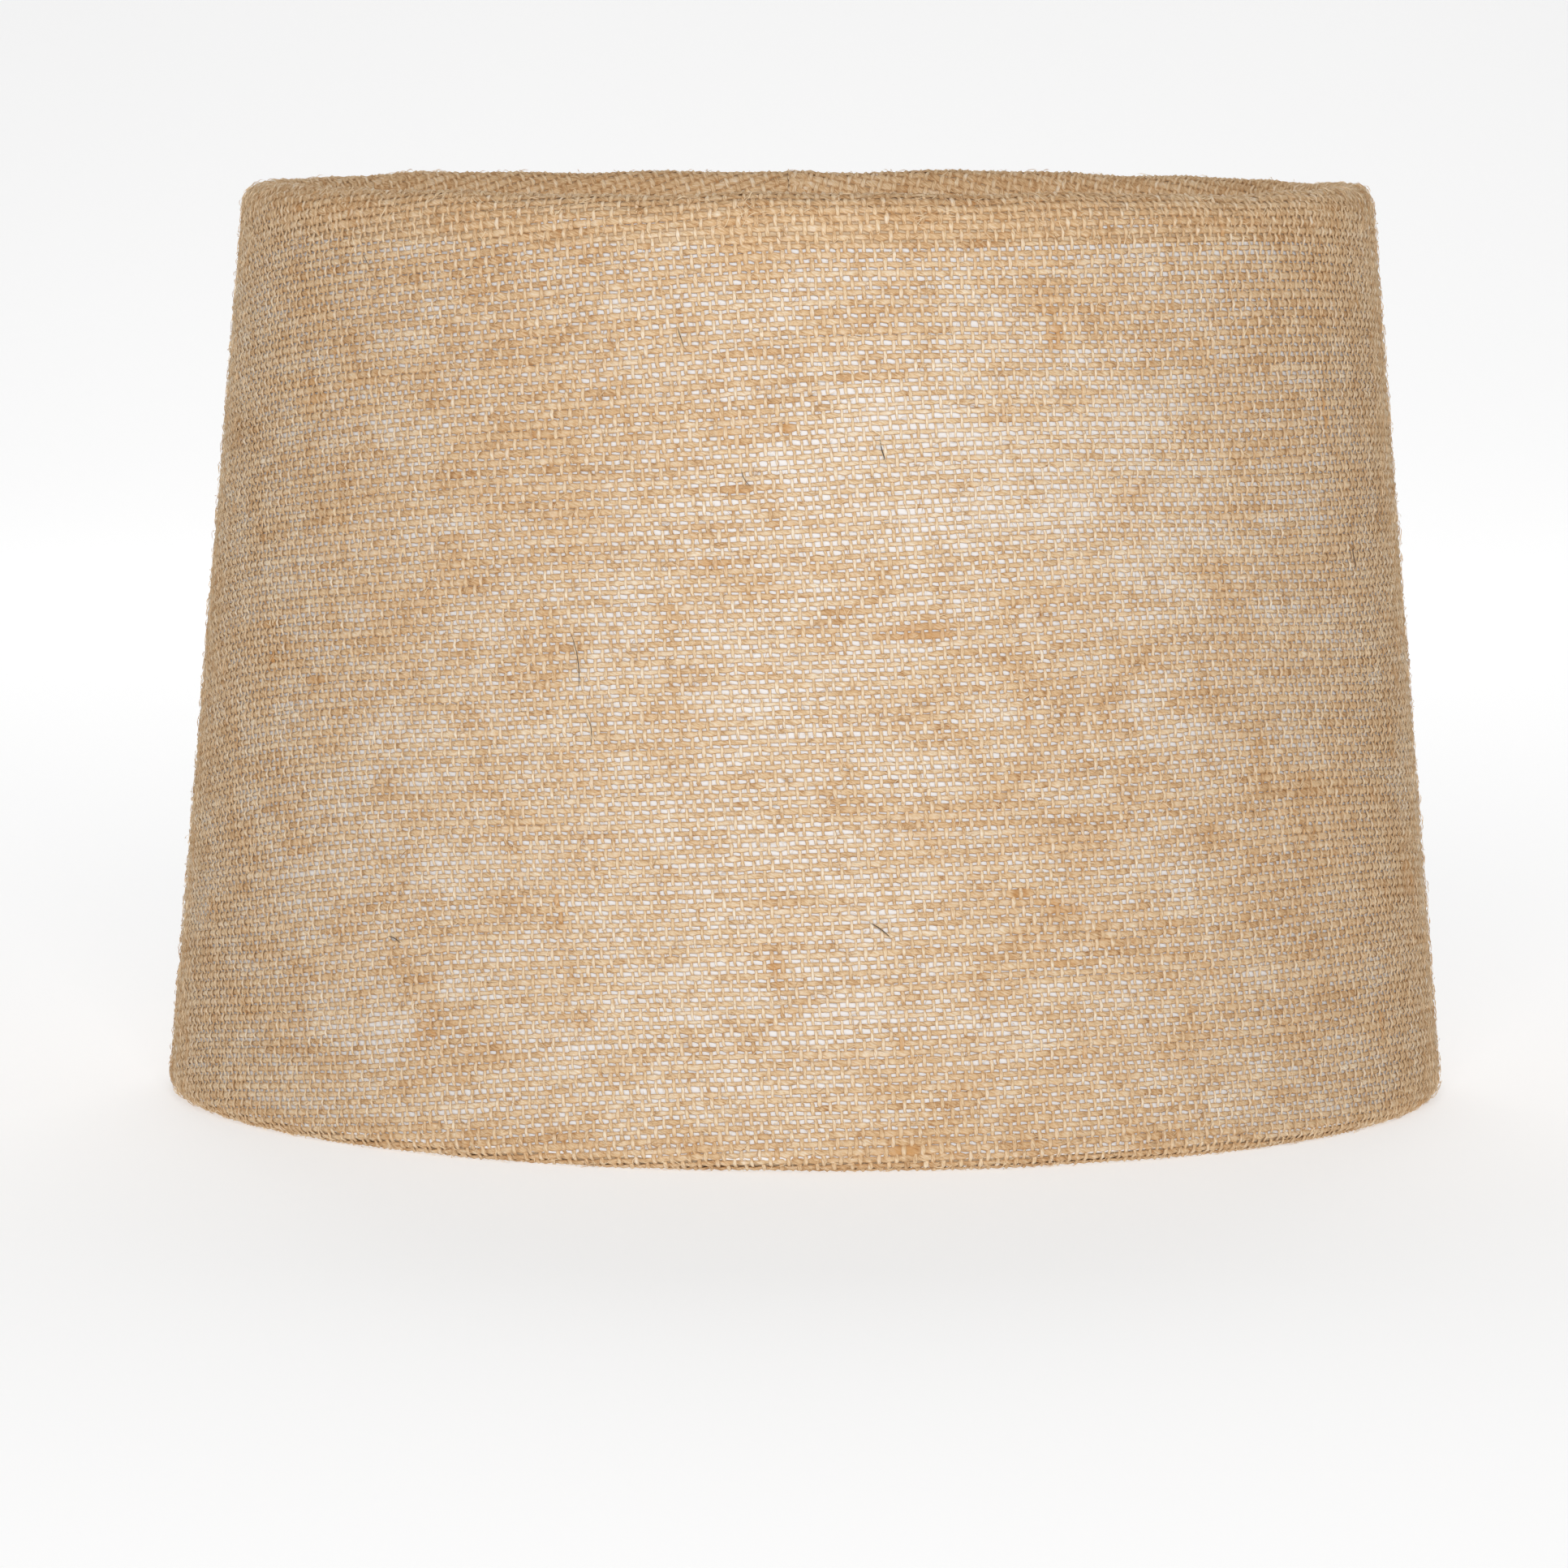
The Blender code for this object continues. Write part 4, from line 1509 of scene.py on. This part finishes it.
@dataclass
class Gimbal:
    """Two wire arms with flattened eyes, welded to a pressed fitter ring."""

    bore: float = 21 * MM
    plate: float = 1.2 * MM
    bend: float = 1.4 * MM
    wire: float = 1.6 * MM
    eye: float = 4.8 * MM
    eye_hole: float = 1.8 * MM
    groove: float = 0.4 * MM
    gap: float = 0.3 * MM
    sides: int = 16

    def build(self, coat: bpy.types.Material) -> None:
        """Makes the ring, both arms and their welds.

        Args:
            coat: Their material.
        """
        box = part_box("fitter_ring")
        ring = finished("fitter", turned(self._section(box), 128), coat)
        placed(ring, "white_steel", Body.GIMBAL, "fitter_ring")
        for side in Side:
            shape = self._arm(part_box("gimbal_arm_right"), box[1])
            side.turn(shape)
            arm = finished(f"arm_{side.label}", shape, coat)
            placed(arm, "white_steel", Body.GIMBAL, f"gimbal_arm_{side.label}")

    def _section(self, box: tuple[Vector, Vector]) -> list[Vector]:
        """The ring's section: a flat plate with a pressed groove and a turned-down skirt.

        Args:
            box: The ring's box.

        Returns:
            The outline.
        """
        rim, top, foot, edge = box[1].x, box[1].z, box[0].z, 0.3 * MM
        low, far, near = top - self.plate, rim - 2.4 * MM, rim - 4.6 * MM
        floor, side = top - self.groove, 0.6 * MM
        upper = [(near, top), (near + side, floor), (far - side, floor), (far, top)]
        corners = [(self.bore, low, edge), (self.bore, top, edge), *((x, z, edge) for x, z in upper)]
        corners += [(rim, top, self.bend), (rim, foot, edge), (rim - self.plate, foot, edge)]
        corners += [(rim - self.plate, low, self.bend - self.plate / 2)]
        corners += [(x, z - self.plate, edge) for x, z in reversed(upper)]
        return filleted(corners)

    def _arm(self, box: tuple[Vector, Vector], fitter: Vector) -> bmesh.types.BMesh:
        """An eye on the pivot axis, a wire down to the ring, and the beads that hold it there.

        Args:
            box: The arm's box.
            fitter: The ring's highest corner.

        Returns:
            The bmesh, at +X.
        """
        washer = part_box("pivot_washer_right")
        pivot, half = (washer[0].z + washer[1].z) / 2, self.plate / 2
        eye_x, seat, end = box[1].x - half, fitter.z + self.gap + self.wire, box[0].x
        cut = 0.45 * MM
        line = [(self.eye_hole, -half, cut / 2), (self.eye, -half, cut)]
        line += [(self.eye, half, cut), (self.eye_hole, half, cut / 2)]
        shape = turned(filleted(line), 48, Vector((1, 0, 0)))
        bmesh.ops.translate(shape, verts=shape.verts, vec=(eye_x, 0, pivot))
        bend = fitter.x + 5 * MM
        route = [(eye_x, pivot - 0.75 * self.eye), (eye_x - 0.4 * MM, pivot - 1.0 * self.eye),
                 (eye_x - 1.0 * MM, pivot - 1.2 * self.eye), (eye_x - 2.6 * MM, pivot - 1.45 * self.eye),
                 (eye_x - 6.0 * MM, pivot - 1.8 * self.eye)]
        start, knee = Vector(route[-1]), Vector((bend, seat))
        route += [tuple(start.lerp(knee, share)) for share in (0.25, 0.5, 0.75, 0.92)]
        route += [(bend - share * (bend - end), seat) for share in (0.45, 0.7)]
        route += [(end + 0.4 * MM, seat), (end, seat)]
        thin = [0.34, 0.38, 0.75, 1.0, *[1.0] * 7, 0.95, 0.55]
        wide = [2.0, 1.8, 1.35, 1.08, *[1.0] * 7, 0.95, 0.55]
        self._loft(shape, self._smooth(route), self._smooth(list(zip(thin, wide))))
        for lean in (-1, 1):
            for place in (end + 1.6 * MM, fitter.x - 1.8 * MM):
                middle = (place, lean * 0.9 * self.wire, fitter.z + 0.1 * MM)
                add_bead(shape, middle, (1.7 * MM, 1.0 * MM, 0.8 * MM))
        return shape

    @staticmethod
    def _smooth(points: list[tuple[float, float]], steps: int = 5) -> np.ndarray:
        """A smooth line through points, by Catmull and Rom's rule.

        Args:
            points: The points.
            steps: How many steps each stretch has.

        Returns:
            The line's points.
        """
        held = np.array([points[0], *points, points[-1]])
        line = [held[1]]
        for a, b, c, d in zip(held, held[1:], held[2:], held[3:]):
            for t in np.arange(1, steps + 1) / steps:
                cubic = 3 * (b - c) + d - a
                line.append(b + 0.5 * t * (c - a + t * (2 * a - 5 * b + 4 * c - d + t * cubic)))
        return np.array(line)

    def _loft(self, shape: bmesh.types.BMesh, route: np.ndarray, sizes: np.ndarray) -> None:
        """Adds a wire along a route in the XZ plane.

        Args:
            shape: The bmesh that it is added to.
            route: The stations, as (x, z).
            sizes: How thick and wide each is, as shares of the wire.
        """
        ways = np.gradient(route, axis=0)
        loops = []
        for (x, z), (run, rise), (thin, wide) in zip(route, ways, sizes):
            ring = bmesh.ops.create_circle(shape, segments=self.sides, radius=self.wire)["verts"]
            bmesh.ops.scale(shape, vec=(thin, wide, 1), verts=ring)
            tilt = Matrix.Rotation(math.atan2(run, rise), 3, "Y")
            bmesh.ops.rotate(shape, verts=ring, matrix=tilt)
            bmesh.ops.translate(shape, verts=ring, vec=(x, 0, z))
            loops.append(ring)
        edges = [e for e in shape.edges if not e.link_faces]
        bmesh.ops.bridge_loops(shape, edges=edges)
        for ring in (loops[0], loops[-1]):
            bmesh.ops.contextual_create(shape, geom=ring)


@dataclass
class Reducer:
    """A moulded ring that narrows the fitter's bore, with a collar, a spigot and stiffening ribs."""

    hole: float = 14.5 * MM
    wall: float = 1.4 * MM
    collar: float = 1.6 * MM
    plate: float = 1.5 * MM
    spigot: float = 20.7 * MM
    ribs: int = 16
    rib_wide: float = 0.9 * MM

    def build(self, finish: bpy.types.Material) -> None:
        """Makes the ring with its ribs.

        Args:
            finish: Its material.
        """
        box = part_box("reducer_ring")
        lip, top, foot, edge = box[1].x, box[1].z, box[0].z, 0.3 * MM
        deck = top - self.collar
        seat = deck - self.plate
        outside = self.hole + self.wall
        corners = [(self.hole, seat, edge), (self.hole, top, 0.5 * MM), (outside, top, 0.5 * MM)]
        corners += [(outside, deck, 0.4 * MM), (lip - 1.0 * MM, deck, edge)]
        corners += [(lip, deck - 0.3 * MM, edge), (lip, seat, edge), (self.spigot, seat, 0.15 * MM)]
        corners += [(self.spigot, foot, 0.5 * MM), (self.spigot - self.wall, foot, edge)]
        corners += [(self.spigot - self.wall, seat, edge)]
        shape = turned(filleted(corners), 128)
        for i in range(self.ribs):
            self._add_rib(shape, outside - 0.3 * MM, lip - 2.6 * MM, deck, math.tau * i / self.ribs)
        placed(finished("reducer", shape, finish), "reducer_plastic", Body.REDUCER, "reducer_ring")

    def _add_rib(self, shape: bmesh.types.BMesh, start: float, end: float, deck: float, turn: float) -> None:
        """Adds one rib that slopes down from the collar to the lip.

        Args:
            shape: The bmesh that it is added to.
            start: The radius that it starts at.
            end: The radius that it ends at.
            deck: The height of the plate's top.
            turn: Its angle round the ring.
        """
        tall, sunk, low = self.collar - 0.25 * MM, 0.15 * MM, 0.45 * MM
        rib = bmesh.ops.create_cube(shape, size=1.0)["verts"]
        bmesh.ops.scale(shape, vec=(end - start, self.rib_wide, tall + 2 * sunk), verts=rib)
        bmesh.ops.translate(shape, vec=((start + end) / 2, 0, deck + tall / 2 - sunk), verts=rib)
        outer = [v for v in rib if v.co.x > (start + end) / 2 and v.co.z > deck]
        bmesh.ops.translate(shape, vec=(0, 0, low - tall), verts=outer)
        edges = list({e for v in rib for e in v.link_edges})
        made = bmesh.ops.bevel(
            shape, geom=edges, offset=0.15 * MM, segments=2, profile=0.5, affect="EDGES", material=-1
        )
        own = list({*made["verts"], *(v for v in rib if v.is_valid)})
        bmesh.ops.rotate(shape, verts=own, matrix=Matrix.Rotation(turn, 3, "Z"))


@dataclass
class Studio:
    """A white floor that sweeps up behind the shade, soft lights, and the camera."""

    distance: float = 2.42266
    height: float = 0.31887
    pitch: float = 0.09682
    yaw: float = 0.00248
    roll: float = 0.00342
    lens: float = 203.41
    floor_glow: float = 0.55
    surround: float = 0.22

    def build(self) -> None:
        """Sets up the floor, the lights, the world and the camera."""
        self._floor()
        self._world()
        self._light("key", (0, -2.85, 1.2), (0, 0, 0.10), 1.0, 50.5)
        self._light("back", (0, 2.0, 1.9), (0, 0, 0.12), 1.4, 22.0)
        self._camera()

    def _floor(self) -> None:
        """A floor that curves up into a wall."""
        shape = bmesh.new()
        near = shape.verts.new((-4.0, -5.0, 0.0))
        far = shape.verts.new((-4.0, 2.0, 0.0))
        shape.edges.new((near, far))
        bend = bmesh.ops.spin(
            shape, geom=[far], cent=(-4.0, 2.0, 1.2), axis=(1, 0, 0), angle=math.pi / 2, steps=24
        )
        last = [g for g in bend["geom_last"] if isinstance(g, bmesh.types.BMVert)][0]
        top = shape.verts.new((-4.0, last.co.y, 4.0))
        shape.edges.new((last, top))
        pulled = bmesh.ops.extrude_edge_only(shape, edges=shape.edges[:])["geom"]
        moved = [g for g in pulled if isinstance(g, bmesh.types.BMVert)]
        bmesh.ops.translate(shape, verts=moved, vec=(8.0, 0, 0))
        graph = ShaderGraph("studio paper")
        mottle = graph.noise(graph.place(), 2.0, 2.0)
        grey = graph.mix(mottle, (0.49, 0.49, 0.49), (0.51, 0.51, 0.51))
        paper = graph.surface(Base_Color=grey, Roughness=0.9)
        graph.shader.inputs["Emission Color"].default_value = (1.0, 1.0, 1.0, 1.0)
        graph.shader.inputs["Emission Strength"].default_value = self.floor_glow
        finished("studio_floor", shape, paper)

    def _world(self) -> None:
        """An even white surround."""
        world = bpy.data.worlds.new("studio")
        world.use_nodes = True
        world.node_tree.nodes["Background"].inputs[0].default_value = (1.0, 1.0, 1.0, 1.0)
        world.node_tree.nodes["Background"].inputs[1].default_value = self.surround
        bpy.context.scene.world = world
        bpy.context.scene.view_settings.view_transform = "Standard"

    def _light(
        self, name: str, place: Sequence[float], target: Sequence[float], size: float, power: float
    ) -> None:
        """Adds one soft light.

        Args:
            name: Its name.
            place: Where it is.
            target: The point that it faces.
            size: Its side, in metres.
            power: Its power, in watts.
        """
        light = bpy.data.lights.new(name, "AREA")
        light.size, light.energy = size, power
        lamp = bpy.data.objects.new(name, light)
        lamp.location = place
        lamp.rotation_euler = (Vector(target) - Vector(place)).to_track_quat("-Z", "Y").to_euler()
        bpy.context.scene.collection.objects.link(lamp)

    def _camera(self) -> None:
        """Adds the camera."""
        data = bpy.data.cameras.new("camera")
        data.sensor_width, data.lens = 36.0, self.lens
        camera = bpy.data.objects.new("camera", data)
        turn = Matrix.Rotation(self.yaw, 4, "Z") @ Matrix.Rotation(math.pi / 2 - self.pitch, 4, "X")
        stand = Matrix.Translation((0, -self.distance, self.height))
        camera.matrix_world = stand @ turn @ Matrix.Rotation(self.roll, 4, "Z")
        bpy.context.scene.collection.objects.link(camera)
        bpy.context.scene.camera = camera


def dress_frame(coat: bpy.types.Material) -> None:
    """Gives the frame's own pieces their finishes.

    Args:
        coat: The rings' material, and that of every node that another piece stands for.
    """
    film = MouldedFinish("seam film", (0.82, 0.82, 0.80), 0.3).material()
    for name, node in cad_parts.items():
        node.data.materials.clear()
        node.data.materials.append(film if name == "liner_seam_tape" else coat)


def main() -> None:
    """Builds the shade, then the studio round it."""
    logging.basicConfig(level=logging.INFO, format="%(message)s")
    drum = DrumShape.from_frame()
    path = ClothPath(drum)
    coat = CoatFinish().material()
    dress_frame(coat)
    nylon = MouldedFinish("nylon", (0.85, 0.84, 0.80), 0.4).material()
    Pivots().build(coat, ZincFinish().material(), nylon)
    Gimbal().build(coat)
    Reducer().build(MouldedFinish("reducer plastic", (0.88, 0.88, 0.86), 0.34).material())
    Liner(drum).build()
    weave = Weave(path)
    TopRing(weave).build(coat)
    RimTape(weave).build(FibreFinish("rim tape", (0.76, 0.58, 0.38), (0.66, 0.47, 0.29)).material())
    pale = Fibres(weave, FibreFinish("loose fibre").material())
    fuzz = [pale.scatter(f"loose_fibres_{part}", 12000, 20 + part) for part in (1, 2, 3)]
    dark = FibreFinish("dark fibre", (0.05, 0.045, 0.04), (0.11, 0.08, 0.06)).material()
    fuzz.append(Fibres(weave, dark, 0.13 * MM, 0.3 * MM, 7, 5).lay("dark_fibres", DARK_FIBRES, 5))
    JuteCover(weave, fuzz).build()
    Studio().build()


if __name__ == "__main__":
    main()
